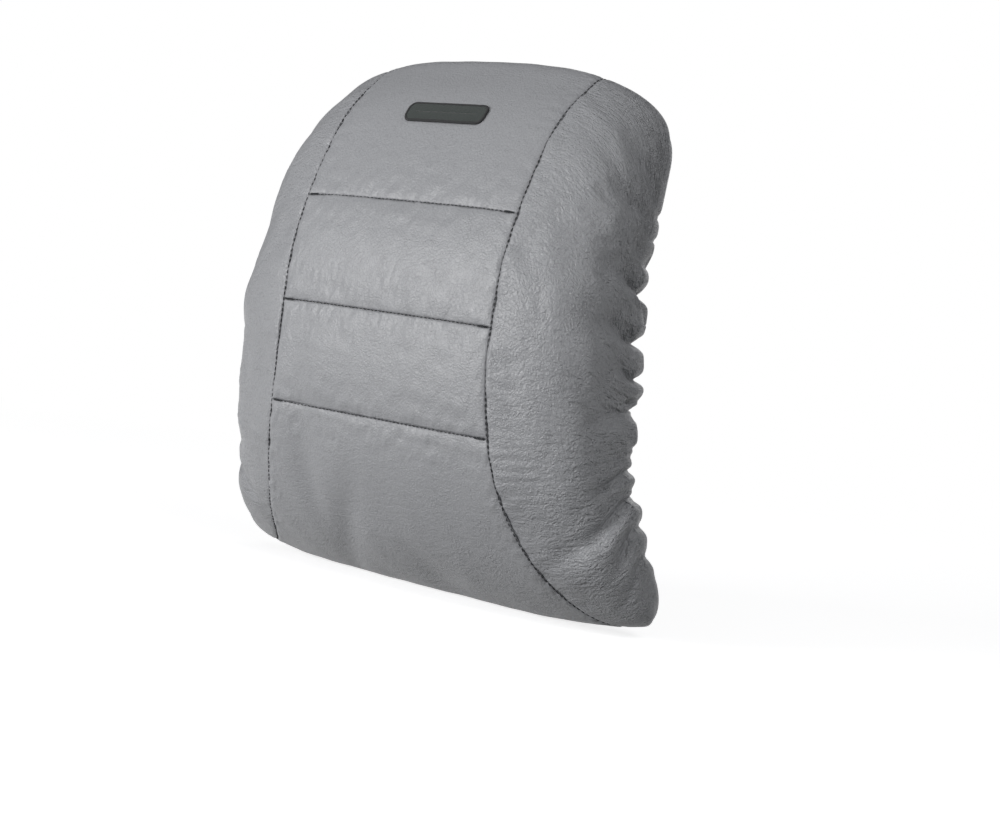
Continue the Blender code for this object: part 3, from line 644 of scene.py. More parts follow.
def gatherLift(v, toHem, side):
    # Each fold is a sharp pinch at the rim that widens and softens inland; leather bulges between the folds
    look = gatherLook
    groove = np.zeros_like(v)
    for number, (edge, middle, inland, reach, strength, width) in enumerate(look["folds"]):
        stray = 0.0 if side > 0 else 0.016 * math.sin(2.3 * number + 1.0)
        t = np.clip((toHem - look["edge"]) / (reach - look["edge"]), 0.0, 1.3)
        path = stray + np.where(t < 0.5, edge + (middle - edge) * 2 * t,
                                middle + (inland - middle) * (2 * t - 1))
        offset = (v - path) * look["downScale"] + 0.0009 * np.sin(190 * toHem + 2.1 * number) * t
        wide = width * (0.55 + 0.75 * t) * np.where(offset > 0, 0.85, 1.2)
        soft = 0.0004 + 0.0030 * t
        away = np.sqrt(offset**2 + soft**2) - soft
        fade = 1 - smooth((toHem - 0.62 * reach) / (0.46 * reach))
        groove = groove + (1 - groove) * strength * fade * np.exp(-(away / wide)**1.4)
    gathered = smooth((v - look["top"]) / look["topFade"]) * smooth((look["foot"] - v) / look["footFade"])
    near = smooth(1 - (toHem - look["near"]) / look["nearFade"])
    hem = smooth(toHem / look["hemFade"])
    down = v * look["downScale"]
    tight = look["tight"] * ripple(down, toHem, look["tightWave"], 4.0, 21)
    tight = tight * smooth(1 - toHem / look["tightReach"]) * gathered * smooth((v - 0.30) / 0.10)
    broad = look["broad"] * ripple(down, toHem, look["broadWave"], 1.8, 23) * gathered
    lift = look["bulge"] * gathered * near * (1 - groove) - look["depth"] * groove + tight + broad
    return lift * (0.15 + 0.85 * hem)


def settleCloth(v, base, normal, start):
    # The panel's leather, cut as long at the hem as at the seam, is sewn down round its edge and let settle
    # over the foam under a little pressure; gives how far each point moved
    look = clothLook
    rows, columns = base.shape[:2]
    down = look["slack"] * np.interp(v, v[:, 0], runAlong(base[:, 0]))
    steps = np.linalg.norm(np.diff(base, axis=1), axis=-1)
    steps = np.sqrt(np.maximum(steps**2 - np.diff(down, axis=1)**2, (0.5 * steps)**2))
    across = np.concatenate([np.zeros((rows, 1)), np.cumsum(steps, axis=1)], axis=1)
    cut = np.stack([across, 0 * across, -down], axis=-1)
    cloth = meshObject("settling_cloth", start, gridFaces(rows, columns), leather)
    cloth.shape_key_add(name="sewn")
    key = cloth.shape_key_add(name="cut")
    key.data.foreach_set("co", cut.astype(np.float32).ravel())
    index = np.arange(rows * columns).reshape(rows, columns)
    held = np.unique(np.concatenate([index[:2].ravel(), index[-2:].ravel(), index[:, 0], index[:, -1]]))
    cloth.vertex_groups.new(name="held").add(held.tolist(), 1.0, "REPLACE")
    stop = meshObject("foam_stop", base - normal * look["foamIn"], gridFaces(rows, columns), leather)
    stop.modifiers.new("stop", "COLLISION")
    stop.collision.thickness_outer = look["clearance"]
    modifier = cloth.modifiers.new("cloth", "CLOTH")
    settings = modifier.settings
    settings.quality = 8
    settings.mass = look["mass"]
    settings.tension_stiffness = look["tension"]
    settings.compression_stiffness = look["compression"]
    settings.shear_stiffness = look["shear"]
    settings.bending_stiffness = look["bending"]
    settings.air_damping = 1.0
    settings.vertex_group_mass = "held"
    settings.use_pressure = True
    settings.uniform_pressure_force = look["pressure"]
    settings.effector_weights.gravity = 0.0
    settings.rest_shape_key = key
    modifier.collision_settings.distance_min = look["clearance"]
    modifier.point_cache.frame_end = look["frames"]
    for number in range(1, look["frames"] + 1):
        bpy.context.scene.frame_set(number)
    settled = cloth.evaluated_get(bpy.context.evaluated_depsgraph_get())
    moved = np.zeros(rows * columns * 3, np.float32)
    settled.data.vertices.foreach_get("co", moved)
    moved = moved.reshape(rows, columns, 3).astype(float) - start
    for helper in (cloth, stop):
        bpy.data.objects.remove(helper, do_unlink=True)
    bpy.context.scene.frame_set(1)
    length = np.linalg.norm(moved, axis=-1, keepdims=True)
    return moved * np.minimum(1.0, look["cap"] / np.maximum(length, 1e-9))


def panelForm(rimV, c, side):
    # Rows lean down from the rim to the seam; gives the plain surface, the folded one and their helpers
    rimGrid, cGrid = np.meshgrid(rimV, c, indexing="ij")
    away = np.clip(1 - cGrid, 0.0, 1.0)
    v = rimGrid + 4 * gatherLook["lean"] * rimGrid * (1 - rimGrid) * away * (2 - away)
    base = sidePoint(v, cGrid, seamXAt(v) + seamForm["gap"] / 2)
    steps = np.linalg.norm(np.diff(base, axis=1), axis=-1)
    fromSeam = np.concatenate([np.zeros((len(rimV), 1)), np.cumsum(steps, axis=1)], axis=1)
    toHem = fromSeam[:, -1:] - fromSeam
    normal = gridNormals(base)
    lift = gatherLift(v, toHem, side) * sideFadeAt(rimGrid)
    return v, base, normal, base + normal * lift[..., None], fromSeam, toHem


def makeSidePanels():
    look = gatherLook
    evenDown = evenShares(0.0, 1.0, look["step"] * look["downStep"])
    c = arcColumns(int(look["panelWidth"] / look["step"]))
    for side, word in ((1, "right"), (-1, "left")):
        v, base, normal, folded, fromSeam, toHem = panelForm(evenDown, c, side)
        cloth = clothLook
        t = np.linspace(cloth["ends"], 1 - cloth["ends"], cloth["rows"])
        coarseDown = np.interp(t, np.linspace(0, 1, len(evenDown)), evenDown)
        coarse = panelForm(coarseDown, arcColumns(cloth["columns"]), side)
        kept = smooth((cloth["until"] - coarse[0]) / cloth["fade"])
        moved = settleCloth(*coarse[:4]) * kept[..., None]
        inside = (np.linspace(0, 1, len(evenDown)) - cloth["ends"]) / (1 - 2 * cloth["ends"])
        fine = spline(moved, inside)
        fine = spline(fine.transpose(1, 0, 2), np.linspace(0, 1, len(c))).transpose(1, 0, 2)
        folded = folded + fine
        print("cloth settled,", word, "side, most", round(1000 * float(np.abs(moved).max()), 1), "mm")
        pucker = np.clip(1 - fromSeam / look["puckerReach"], 0.0, 1.0) * look["pucker"] * sideFadeAt(v)
        pucker = pucker * ripple(v * look["downScale"], fromSeam, look["puckerWave"], 2.0, 24)
        points = folded + normal * (pucker - seamDip(fromSeam))[..., None]
        share = look["creasedShare"]
        creased = smooth(1 - (toHem - look["creased"]) / look["creasedFade"])
        amount = creased * sideFadeAt(v) * share + (1 - share)
        flow = np.stack([toHem, v * look["downScale"], 0 * v], axis=-1)
        seamSide = [(1, 0)]
        points = turnedIn(points, normal, seamSide)
        flow, amount = widened(flow, seamSide), widened(amount, seamSide)
        if side < 0:
            points = points[:, ::-1] * np.array([-1.0, 1.0, 1.0])
            flow, amount = flow[:, ::-1] + np.array([0.31, 0.17, 0.0]), amount[:, ::-1]
        obj = meshObject(f"{word}_side_leather", points, gridFaces(*points.shape[:2]), leather)
        setAttribute(obj, "foldFlow", flow, "FLOAT_VECTOR")
        setAttribute(obj, "foldAmount", amount)
        mergeDoubles(obj)
        addWall(obj, coverForm["leather"])
        dress(obj, replaces=[f"side_panel_{word}"])


makeSidePanels()
print("side panels gathered")


# Places on the cover

def frontNormal(v, x):
    # Outward normal of the plain front, from small steps down and across
    step = 1e-4
    down = frontPoint(v + step, x) - frontPoint(v - step, x)
    across = frontPoint(v, x + step) - frontPoint(v, x - step)
    return unit(np.cross(down, across))


def evenPath(points, count, closed=False):
    # The polyline's points again at even steps of length
    points = np.asarray(points, float)
    if closed:
        points = np.concatenate([points, points[:1]])
    run = runAlong(points)
    at = np.linspace(0.0, run[-1], count + 1)[:count] if closed else np.linspace(0.0, run[-1], count)
    return np.stack([np.interp(at, run, points[:, k]) for k in range(points.shape[1])], axis=-1)


# Stitches

stitchLook = {
    "seam": {"length": 0.0021, "pitch": 0.0029, "thickness": 0.00062, "swing": 0.00012},
    "cross": {"length": 0.0018, "pitch": 0.0026, "thickness": 0.00046, "swing": 0.00024},
    "tack": {"length": 0.0003, "pitch": 0.00048, "thickness": 0.00045, "swing": 0.0007},
    "cloth": {"length": 0.0022, "pitch": 0.0030, "thickness": 0.00060, "swing": 0.0},
    "webbing": {"length": 0.0024, "pitch": 0.0031, "thickness": 0.00070, "swing": 0.0},
    "seamLift": -0.00052, "crossLift": -0.00050, "tackLength": 0.0068,
}


def stitchPoints(path, normals, look):
    # Each stitch is a bent capsule along the path, arched in the middle and sunk at both ends
    run = runAlong(path)
    count = max(int(run[-1] / look["pitch"]), 1)
    middle = (np.arange(count) + 0.5) * run[-1] / count
    s = np.linspace(-1.0, 1.0, 7)
    at = middle[:, None] + s[None, :] * look["length"] / 2
    centre = np.stack([np.interp(at, run, path[:, k]) for k in range(3)], axis=-1)
    up = unit(np.stack([np.interp(at, run, normals[:, k]) for k in range(3)], axis=-1))
    aside = np.cross(unit(np.gradient(centre, axis=1)), up)
    way = np.where(np.arange(count) % 2 == 0, 1.0, -1.0)[:, None] * s[None, :]
    centre = centre + aside * (look["swing"] * way)[..., None]
    aside = np.cross(unit(np.gradient(centre, axis=1)), up)
    plump = (1 - s**4)[None, :, None]
    centre = centre + up * look["thickness"] * (0.55 * plump - 0.35)
    radius = 0.5 * look["thickness"] * np.sqrt(np.clip(1 - s**6, 0.0, 1.0))[None, :, None, None]
    turn = np.arange(6) * math.pi / 3
    around = aside[:, :, None] * np.cos(turn)[:, None] + up[:, :, None] * np.sin(turn)[:, None]
    return centre[:, :, None] + radius * around


def stitchObject(name, rows):
    # rows holds a path, its normals and the look of its stitches, for each run of thread
    parts = [stitchPoints(np.asarray(path, float), normals + 0 * np.asarray(path), look)
             for path, normals, look in rows]
    points = np.concatenate(parts)
    one = gridFaces(7, 6, wrap=True)
    faces = (one[None] + 42 * np.arange(len(points))[:, None, None]).reshape(-1, 4)
    obj = meshObject(name, points, faces, thread)
    mergeDoubles(obj)
    return dress(obj)


def makeSeamStitches():
    look = stitchLook
    v = evenShares(0.014, 0.984, 0.0009)
    for side, word in ((1, "right"), (-1, "left")):
        x = side * seamXAt(v)
        up = frontNormal(v, x)
        stitchObject(f"{word}_seam_stitches", [(frontPoint(v, x) + up * look["seamLift"], up, look["seam"])])
    for word, share in zip(("upper", "middle", "lower"), seamForm["crossSeams"]):
        half = float(seamXAt(np.array(share))) - 0.0012
        x = np.linspace(-half, half, 260)
        v = np.full_like(x, share)
        up = frontNormal(v, x)
        path = frontPoint(v, x) + up * look["crossLift"]
        rows = [(path, up, look["cross"])]
        tack = np.abs(np.abs(x) - half + look["tackLength"] / 2) < look["tackLength"] / 2
        for part in (tack & (x < 0), tack & (x > 0)):
            rows.append((path[part] + up[part] * 0.00045, up[part], look["tack"]))
        stitchObject(f"{word}_cross_stitches", rows)


makeSeamStitches()
print("seams stitched")


# Badge

badgeLook = {
    "width": 0.054, "height": 0.0125, "corner": 0.0045, "share": 0.351, "across": 0.0015,
    "lift": 0.0009, "cloth": 0.0006, "rim": 0.0014, "rimRise": 0.0007, "satin": 0.0005, "satinDepth": 0.10,
    "inset": 0.0003, "rimSink": 0.0003, "rings": 9, "edgePoints": 240, "rimPoints": 1000, "rimSides": 12,
}


def onHeadrest(across, down, lift):
    # A place on the top section, in metres from the badge's middle, lifted off the leather
    look = badgeLook
    step = 0.004
    near = profileAt(np.array([look["share"] - step, look["share"] + step]))
    speed = np.linalg.norm(near[1] - near[0]) / (2 * step)
    v = look["share"] + down / speed
    x = look["across"] + across
    crown = crownAt(v, x, 0.0, seamForm["crossSeams"][0])
    return frontPoint(v, x) + frontNormal(v, x) * (crown + lift)[..., None]


def lozenge(inset, count):
    # Outline of the badge at even steps, anticlockwise seen from the front, as metres right and down
    look = badgeLook
    radius = look["corner"] - inset
    turn = np.linspace(0.0, math.pi / 2, 24)
    corners = []
    for number, (right, down) in enumerate(((1, 1), (1, -1), (-1, -1), (-1, 1))):
        angle = math.pi / 2 - number * math.pi / 2 - turn
        middle = (right * (look["width"] / 2 - look["corner"]), down * (look["height"] / 2 - look["corner"]))
        corners.append(np.stack([middle[0] + radius * np.cos(angle), middle[1] + radius * np.sin(angle)], -1))
    return evenPath(np.concatenate(corners), count, closed=True)


def makeBadge():
    # A blank woven field drawn in rings from its middle line, with a raised satin-stitched rim round it
    look = badgeLook
    count = look["edgePoints"]
    edge = lozenge(look["inset"], count)
    spine = np.stack([np.clip(edge[:, 0], -0.5 * (look["width"] - look["height"]),
                              0.5 * (look["width"] - look["height"])), 0 * edge[:, 1]], axis=-1)
    share = np.linspace(1.0, 0.0, look["rings"])[:, None, None]
    flat = spine + (edge - spine) * share
    points = onHeadrest(flat[..., 0], flat[..., 1], np.full(flat.shape[:2], look["lift"]))
    field = meshObject("badge_field", points, gridFaces(look["rings"], count, wrap=True), badgeCloth)
    setAttribute(field, "clothFlow", np.concatenate([flat, 0 * flat[..., :1]], axis=-1), "FLOAT_VECTOR")
    mergeDoubles(field)
    faceFront(field)
    addWall(field, look["cloth"])
    dress(field, replaces=["badge"])

    count, sides = look["rimPoints"], look["rimSides"]
    path = lozenge(look["rim"] / 2, count)
    ahead = np.roll(path, -1, axis=0) - np.roll(path, 1, axis=0)
    outward = unit(np.stack([ahead[:, 1], -ahead[:, 0]], axis=-1))
    outward = outward * np.sign((outward * path).sum(-1).mean())
    perimeter = np.linalg.norm(np.diff(path, axis=0), axis=1).sum()
    along = np.arange(count) / count * perimeter
    threads = np.round(perimeter / look["satin"])
    ridge = 1 + look["satinDepth"] * np.cos(2 * math.pi * threads * along / perimeter)
    turn = np.arange(sides) * 2 * math.pi / sides
    reach = (look["rim"] / 2 * ridge)[:, None, None] * np.cos(turn)[None, :, None]
    flat = path[:, None] + outward[:, None] * reach
    lift = look["lift"] - look["rimSink"] + look["rimRise"] * ridge[:, None] * np.sin(turn)[None, :]
    points = onHeadrest(flat[..., 0], flat[..., 1], lift)
    rim = meshObject("badge_rim", points, gridFaces(count, sides, wrap=True, closed=True), badgeEdge)
    around = np.stack([along[:, None] + 0 * turn, 0.0004 * turn[None, :] + 0 * along[:, None], 0 * lift],
                      axis=-1)
    setAttribute(rim, "clothFlow", around, "FLOAT_VECTOR")
    mergeDoubles(rim, 2e-6, closed=True)
    dress(rim)


makeBadge()
print("badge sewn on")


# Foam block

foamLook = {"inset": 0.0046, "sideInset": 0.0092, "back": 0.0044, "rows": 70, "columns": 60}


def makeFoam():
    # A closed loft inside the cover: the front follows it from further in and the rear is flat
    look = foamLook
    v = np.linspace(0.0, 1.0, look["rows"])[:, None]
    angle = np.radians(np.linspace(-90.0, 90.0, look["columns"]))[None, :]
    n = squarenessAt(v)
    share = np.sign(np.sin(angle)) * np.abs(np.sin(angle))**(2 / n)
    reach = np.abs(np.cos(angle))**(2 / n)
    w = halfWidthAt(v) - look["sideInset"]
    middle = profileAt(v) * np.array([-1.0, 1.0])
    along = unit(np.gradient(middle[:, 0], axis=0))
    middle = middle + (np.stack([-along[:, 1], along[:, 0]], axis=-1) * look["inset"])[:, None]
    setback = look["back"] + (coverForm["rimSetback"] - look["back"]) * sideFadeAt(v)
    hem = look["inset"] * 1.6 + (1 - 3.2 * look["inset"] / coverForm["hemHeight"]) * hemHeightAt(v)
    y = np.minimum(-setback + (middle[..., 0] + setback) * reach, -look["back"])
    z = zOf(hem + (middle[..., 1] - hem) * reach)
    front = np.stack([w * share, y, z], axis=-1)
    rear = np.stack([(w - coverForm["hemReturn"] * sideFadeAt(v)) * share,
                     np.full_like(y, -look["back"]), zOf(hem) + 0 * y], axis=-1)
    loop = np.concatenate([front, rear[:, ::-1]], axis=1)
    for row in (0, -1):
        loop[row] = np.concatenate([rear[row], rear[row, ::-1]])
    block = meshObject("foam_block", loop, gridFaces(*loop.shape[:2], wrap=True), foam)
    mergeDoubles(block, 1e-5, closed=True)
    dress(block, replaces=["foam_core"])


makeFoam()
print("foam block cut")


# Back cloth

backLook = {
    "cloth": 0.0012, "hemGap": 0.0006, "cornerGap": 0.0026, "topGap": 0.0025, "footGap": 0.0022,
    "zipHeight": 0.036, "zipHalf": 0.0905, "slitHalf": 0.0045, "slitEnd": 0.004, "stop": 0.002,
    "step": 0.0016, "roll": 0.0022, "rollDepth": 0.00055, "stitchInset": 0.0042, "zipInset": 0.0023,
    "slack": 0.00030, "slackReach": 0.045, "pucker": 0.00012, "puckerReach": 0.010, "width": 0.25,
}


def downAt(height):
    v = np.linspace(0.0, 1.0, 2001)
    return np.interp(height, hemHeightAt(v)[::-1], v[::-1])


def backEdgeX(height):
    v = downAt(height)
    return hemXAt(v) - backLook["hemGap"] - backLook["cornerGap"] * (1 - sideFadeAt(v))


def slitEdge(x, side):
    # The two cloths meet beyond the zip's ends and part smoothly round its teeth
    look = backLook
    end = look["zipHalf"] + look["stop"] + look["slitEnd"]
    opened = smooth((end + look["slitEnd"] - np.abs(x)) / look["slitEnd"])
    return look["zipHeight"] + side * (0.00015 + (look["slitHalf"] - 0.00015) * opened)


def makeBackCloth():
    # Flat cloth with turned edges that roll in, slack ripples from the hems and puckers at the zip's thread
    look = backLook
    top = coverForm["hemHeight"] - look["topGap"]
    plan = (("back_cloth", "back_panel", 1, top),
            ("lower_back_cloth", "lower_back_strip", -1, look["footGap"]))
    for name, node, side, end in plan:
        rows = int(abs(end - look["zipHeight"]) / look["step"])
        share = np.linspace(0.0, 1.0, rows)[:, None]
        t = np.linspace(-1.0, 1.0, int(look["width"] / look["step"]))[None, :]
        slit = slitEdge(t * backEdgeX(look["zipHeight"]), side)
        height = slit + (end - slit) * share
        if side < 0:
            height = height[::-1]
        x = t * backEdgeX(height)
        toHem = np.minimum(backEdgeX(height) - np.abs(x), np.abs(end - height))
        toZip = np.abs(height - slit)
        roll = np.clip(1 - np.minimum(toHem, toZip) / look["roll"], 0.0, 1.0)**2 * look["rollDepth"]
        nearHem = smooth(1 - toHem / look["slackReach"])
        slack = look["slack"] * nearHem * (1 + ripple(height, x, 0.021, 2.5, 31)) / 2
        nearZip = smooth(1 - toZip / look["puckerReach"])
        puckers = look["pucker"] * nearZip * (1 + ripple(x, height, 0.0065, 2.0, 32)) / 2
        points = np.stack([x, -roll - np.abs(slack) - np.abs(puckers), zOf(height)], axis=-1)
        obj = meshObject(name, points, gridFaces(*points.shape[:2]), backCloth)
        setAttribute(obj, "clothFlow", np.stack([x, height, 0 * x], axis=-1), "FLOAT_VECTOR")
        addWall(obj, look["cloth"])
        dress(obj, replaces=[node])


def onBack(points, lift=0.0):
    points = np.asarray(points, float)
    return np.stack([points[:, 0], 0 * points[:, 0] + lift, zOf(points[:, 1])], axis=-1)


def makeBackStitches():
    look = backLook
    rear = np.array([0.0, 1.0, 0.0])
    inset = look["stitchInset"]
    height = np.linspace(look["footGap"] + inset, coverForm["hemHeight"] - look["topGap"] - inset, 300)
    edge = backEdgeX(height) - inset
    right = np.stack([edge, height], axis=-1)
    left = np.stack([-edge, height], axis=-1)[::-1]
    hem = onBack(evenPath(np.concatenate([right, left]), 1600, closed=True), -0.00025)
    rows = [(hem, rear, stitchLook["cloth"])]
    reach = look["zipHalf"] + look["stop"] + 2.2 * look["slitEnd"]
    x = np.linspace(-reach, reach, 400)
    above = np.stack([x, slitEdge(x, 1) + look["zipInset"]], axis=-1)
    below = np.stack([x, slitEdge(x, -1) - look["zipInset"]], axis=-1)[::-1]
    rows.append((onBack(evenPath(np.concatenate([above, below]), 900, closed=True), -0.00020), rear,
                 stitchLook["cloth"]))
    stitchObject("back_stitches", rows)


makeBackCloth()
makeBackStitches()
print("back cloth sewn")


# Bands: zip tapes, side elastics, strap, tab and closure patches

def bandObject(name, centre, across, rear, width, thickness, material):
    # A band with rounded edges carried along its middle line; the last cut edges are a little thinner
    edge = thickness / 2
    turn = np.linspace(0.15, math.pi / 2, 5)
    middle = np.linspace(width / 2 - edge, -width / 2 + edge, max(int(width / 0.002), 6))[1:-1]
    arc = np.stack([width / 2 - edge + edge * np.cos(turn), edge * np.sin(turn)], axis=-1)
    upper = np.concatenate([arc, np.stack([middle, edge + 0 * middle], -1),
                            arc[::-1] * np.array([-1.0, 1.0])])
    loop = np.concatenate([upper, upper[::-1] * np.array([1.0, -1.0])])
    run = runAlong(centre)
    thin = 1 - 0.35 * np.clip(1 - np.minimum(run, run[-1] - run) / 0.0006, 0.0, 1.0)**2
    across = across + 0 * centre
    rear = rear + 0 * centre
    points = (centre[:, None] + across[:, None] * loop[None, :, :1]
              + rear[:, None] * (loop[None, :, 1:] * thin[:, None, None]))
    count, half = len(loop), len(upper)
    faces = gridFaces(len(centre), count, wrap=True)
    pair = np.arange(half - 1)
    cap = np.stack([pair, pair + 1, count - 2 - pair, count - 1 - pair], axis=-1)
    faces = np.concatenate([faces, cap, cap + (len(centre) - 1) * count])
    obj = meshObject(name, points, faces, material)
    flow = np.stack([loop[None, :, 0] + 0 * run[:, None], run[:, None] + 0 * loop[None, :, 0],
                     0 * run[:, None] + 0 * loop[None, :, 0]], axis=-1)
    setAttribute(obj, "clothFlow", flow, "FLOAT_VECTOR")
    mergeDoubles(obj, 2e-6, closed=True)
    return obj


zipLook = {"tape": 0.010, "tapeThick": 0.0006, "tapeEnd": 0.010, "tapeIn": 0.0018, "toothEdge": 0.0030}
strapLook = {
    "width": 0.040, "thick": 0.0014, "top": 0.222, "end": 0.080, "tabFoot": 0.055, "tabEnd": 0.143,
    "patchLow": 0.087, "patchHigh": 0.140, "patchThick": 0.0012, "patchMargin": 0.003, "gap": 0.0003,
    "ramp": 0.030, "rampClear": 0.004, "box": 0.021, "boxInset": 0.0032, "sink": 0.0001,
}
elasticLook = {"margin": 0.028, "width": 0.008, "thick": 0.001, "outside": 0.0003, "in": 0.0020}
sideways = np.array([1.0, 0.0, 0.0])
upwards = np.array([0.0, 0.0, 1.0])
rearwards = np.array([0.0, 1.0, 0.0])


def makeZipTapes():
    look = zipLook
    reach = backLook["zipHalf"] + look["tapeEnd"]
    for side, word in ((1, "upper"), (-1, "lower")):
        x = np.linspace(-reach, reach, 150)
        height = backLook["zipHeight"] + side * (look["toothEdge"] + look["tape"] / 2)
        centre = np.stack([x, 0 * x - look["tapeIn"], 0 * x + zOf(height)], axis=-1)
        tape = bandObject(f"{word}_zip_tape", centre, upwards, rearwards, look["tape"], look["tapeThick"],
                          tapeCloth)
        dress(tape, replaces=[f"zip_tape_{word}"])


def makeElastics():
    look = elasticLook
    height = np.linspace(look["margin"], coverForm["hemHeight"] - look["margin"], 160)
    x = hemXAt(downAt(height)) + look["outside"] - look["width"] / 2
    for side, word in ((1, "right"), (-1, "left")):
        centre = np.stack([side * x, 0 * x - look["in"], zOf(height)], axis=-1)
        band = bandObject(f"{word}_hem_elastic", centre, sideways, rearwards, look["width"], look["thick"],
                          elasticCloth)
        dress(band, replaces=[f"side_elastic_{word}"])


def strapPath(rearFace):
    # Down the back of the strap: flat on the cloth, then a smooth ramp out over the patches
    look = strapLook
    t = np.linspace(0.0, 1.0, 40)
    clear = look["tabEnd"] + look["rampClear"]
    flat = look["gap"] + look["thick"]
    start = np.stack([np.full(60, flat), np.linspace(look["top"], clear + look["ramp"], 61)[:-1]], axis=-1)
    bend = np.stack([flat + (rearFace - flat) * smooth(t), clear + look["ramp"] * (1 - t)], axis=-1)
    end = np.stack([np.full(60, rearFace), np.linspace(clear, look["end"], 61)[1:]], axis=-1)
    return np.concatenate([start, bend, end])


def strapBand(name, path, width, thick, material):
    # The path gives the rear face; the band's middle lies half its thickness in front of that
    face = np.stack([0 * path[:, 0], path[:, 0], zOf(path[:, 1])], axis=-1)
    rear = np.cross(unit(np.gradient(face, axis=0)), sideways)
    rear = rear * np.sign(rear[:, 1:2])
    return bandObject(name, face - rear * thick / 2, sideways, rear, width, thick, material)


def stitchedBox(low, high, name, drop):
    # A sewn box with a cross in it; drop is how far the face lies behind the back plane
    half = strapLook["width"] / 2 - strapLook["boxInset"]
    corners = ((-half, low), (half, low), (half, high), (-half, high), (-half, low))
    lines = [corners, ((-half, low), (half, high)), ((half, low), (-half, high))]
    rows = []
    for line in lines:
        path = np.asarray(line, float)
        steps = np.linspace(0.0, 1.0, 40)[:, None]
        dense = np.concatenate([a + (b - a) * steps for a, b in zip(path[:-1], path[1:])])
        keep = np.concatenate([[True], np.linalg.norm(np.diff(dense, axis=0), axis=1) > 1e-9])
        rows.append((onBack(dense[keep], drop - strapLook["sink"]), rearwards, stitchLook["webbing"]))
    stitchObject(name, rows)


def makeStrap():
    look = strapLook
    tabRear = look["gap"] + look["thick"]
    loopRear = tabRear + look["gap"] + look["patchThick"]
    hookRear = loopRear + look["gap"] + look["patchThick"]
    strapRear = hookRear + look["gap"] + look["thick"]
    strap = strapBand("rear_strap", strapPath(strapRear), look["width"], look["thick"], webbingCloth)
    dress(strap, replaces=["headrest_strap"])
    height = np.linspace(look["tabEnd"], look["tabFoot"], 90)
    path = np.stack([np.full(90, tabRear), height], axis=-1)
    dress(strapBand("rear_tab", path, look["width"], look["thick"], webbingCloth),
          replaces=["strap_tab"])
    height = np.linspace(look["patchHigh"], look["patchLow"], 60)
    for word, rear in (("loop", loopRear), ("hook", hookRear)):
        path = np.stack([np.full(60, rear), height], axis=-1)
        width = look["width"] - 2 * look["patchMargin"]
        patch = strapBand(f"{word}_closure", path, width, look["patchThick"], pile)
        dress(patch, replaces=[f"{word}_patch"])
    top = look["top"] - look["boxInset"]
    stitchedBox(top - look["box"], top, "strap_stitches", tabRear)
    foot = look["tabFoot"] + look["boxInset"]
    stitchedBox(foot, foot + look["box"], "tab_stitches", tabRear)


makeZipTapes()
makeElastics()
makeStrap()
print("tapes, elastics and strap cut")


# Zip slider, pull, teeth and stops

def bevelledCopy(node, name, body, width):
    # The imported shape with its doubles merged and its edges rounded
    mesh = bpy.data.meshes.new_from_object(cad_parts[node])
    mesh.name = name
    mesh.materials.clear()
    mesh.materials.append(metal)
    obj = bpy.data.objects.new(name, mesh)
    bpy.context.scene.collection.objects.link(obj)
    mergeDoubles(obj, 1e-5)
    work = bmesh.new()
    work.from_mesh(mesh)
    bmesh.ops.dissolve_limit(work, angle_limit=math.radians(1.0), verts=work.verts, edges=work.edges)
    work.to_mesh(mesh)
    work.free()
    bevel = obj.modifiers.new("rounding", "BEVEL")
    bevel.width = width
    bevel.segments = 3
    bevel.limit_method = "ANGLE"
    bevel.angle_limit = math.radians(40.0)
    mesh.shade_smooth()
    mesh.set_sharp_from_angle(angle=math.radians(35.0))
    return dress(obj, body, replaces=[node])


def finishNode(node, material):
    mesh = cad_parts[node].data
    mesh.materials.clear()
    mesh.materials.append(material)


bevelledCopy("zip_slider", "slider_body", "slider", 0.00014)
bevelledCopy("zip_pull", "pull_tab", "pull", 0.00022)
for node in ("zip_teeth_upper", "zip_teeth_lower"):
    finishNode(node, plastic)
for node in ("zip_top_stop_upper", "zip_top_stop_lower", "zip_bottom_stop"):
    finishNode(node, metal)
print("zip finished")


# Floor, lights and camera

studio = {
    "floorColor": (0.60, 0.60, 0.605), "floorGlow": 0.76, "floorReach": 9.0,
    "floorNear": 0.35, "floorFar": 1.0, "bounce": 0.10, "skyFill": 0.15,
    # each lamp's azimuth, elevation, distance, size and power
    "lamps": {"key_softbox": (-25.0, 5.0, 1.25, 0.75, 16.0), "back_softbox": (200.0, 20.0, 1.6, 0.9, 3.0),
              "top_softbox": (-10.0, 72.0, 1.4, 0.9, 0.6), "side_softbox": (72.0, 36.0, 1.3, 0.6, 4.9)},
}
camera = {
    "azimuth": 38.05, "elevation": 2.71, "roll": 8.12, "distance": 0.92406,
    "target": (0.06643, -0.060, 0.09573), "lens": 66.6, "sensor": 36.0,
}


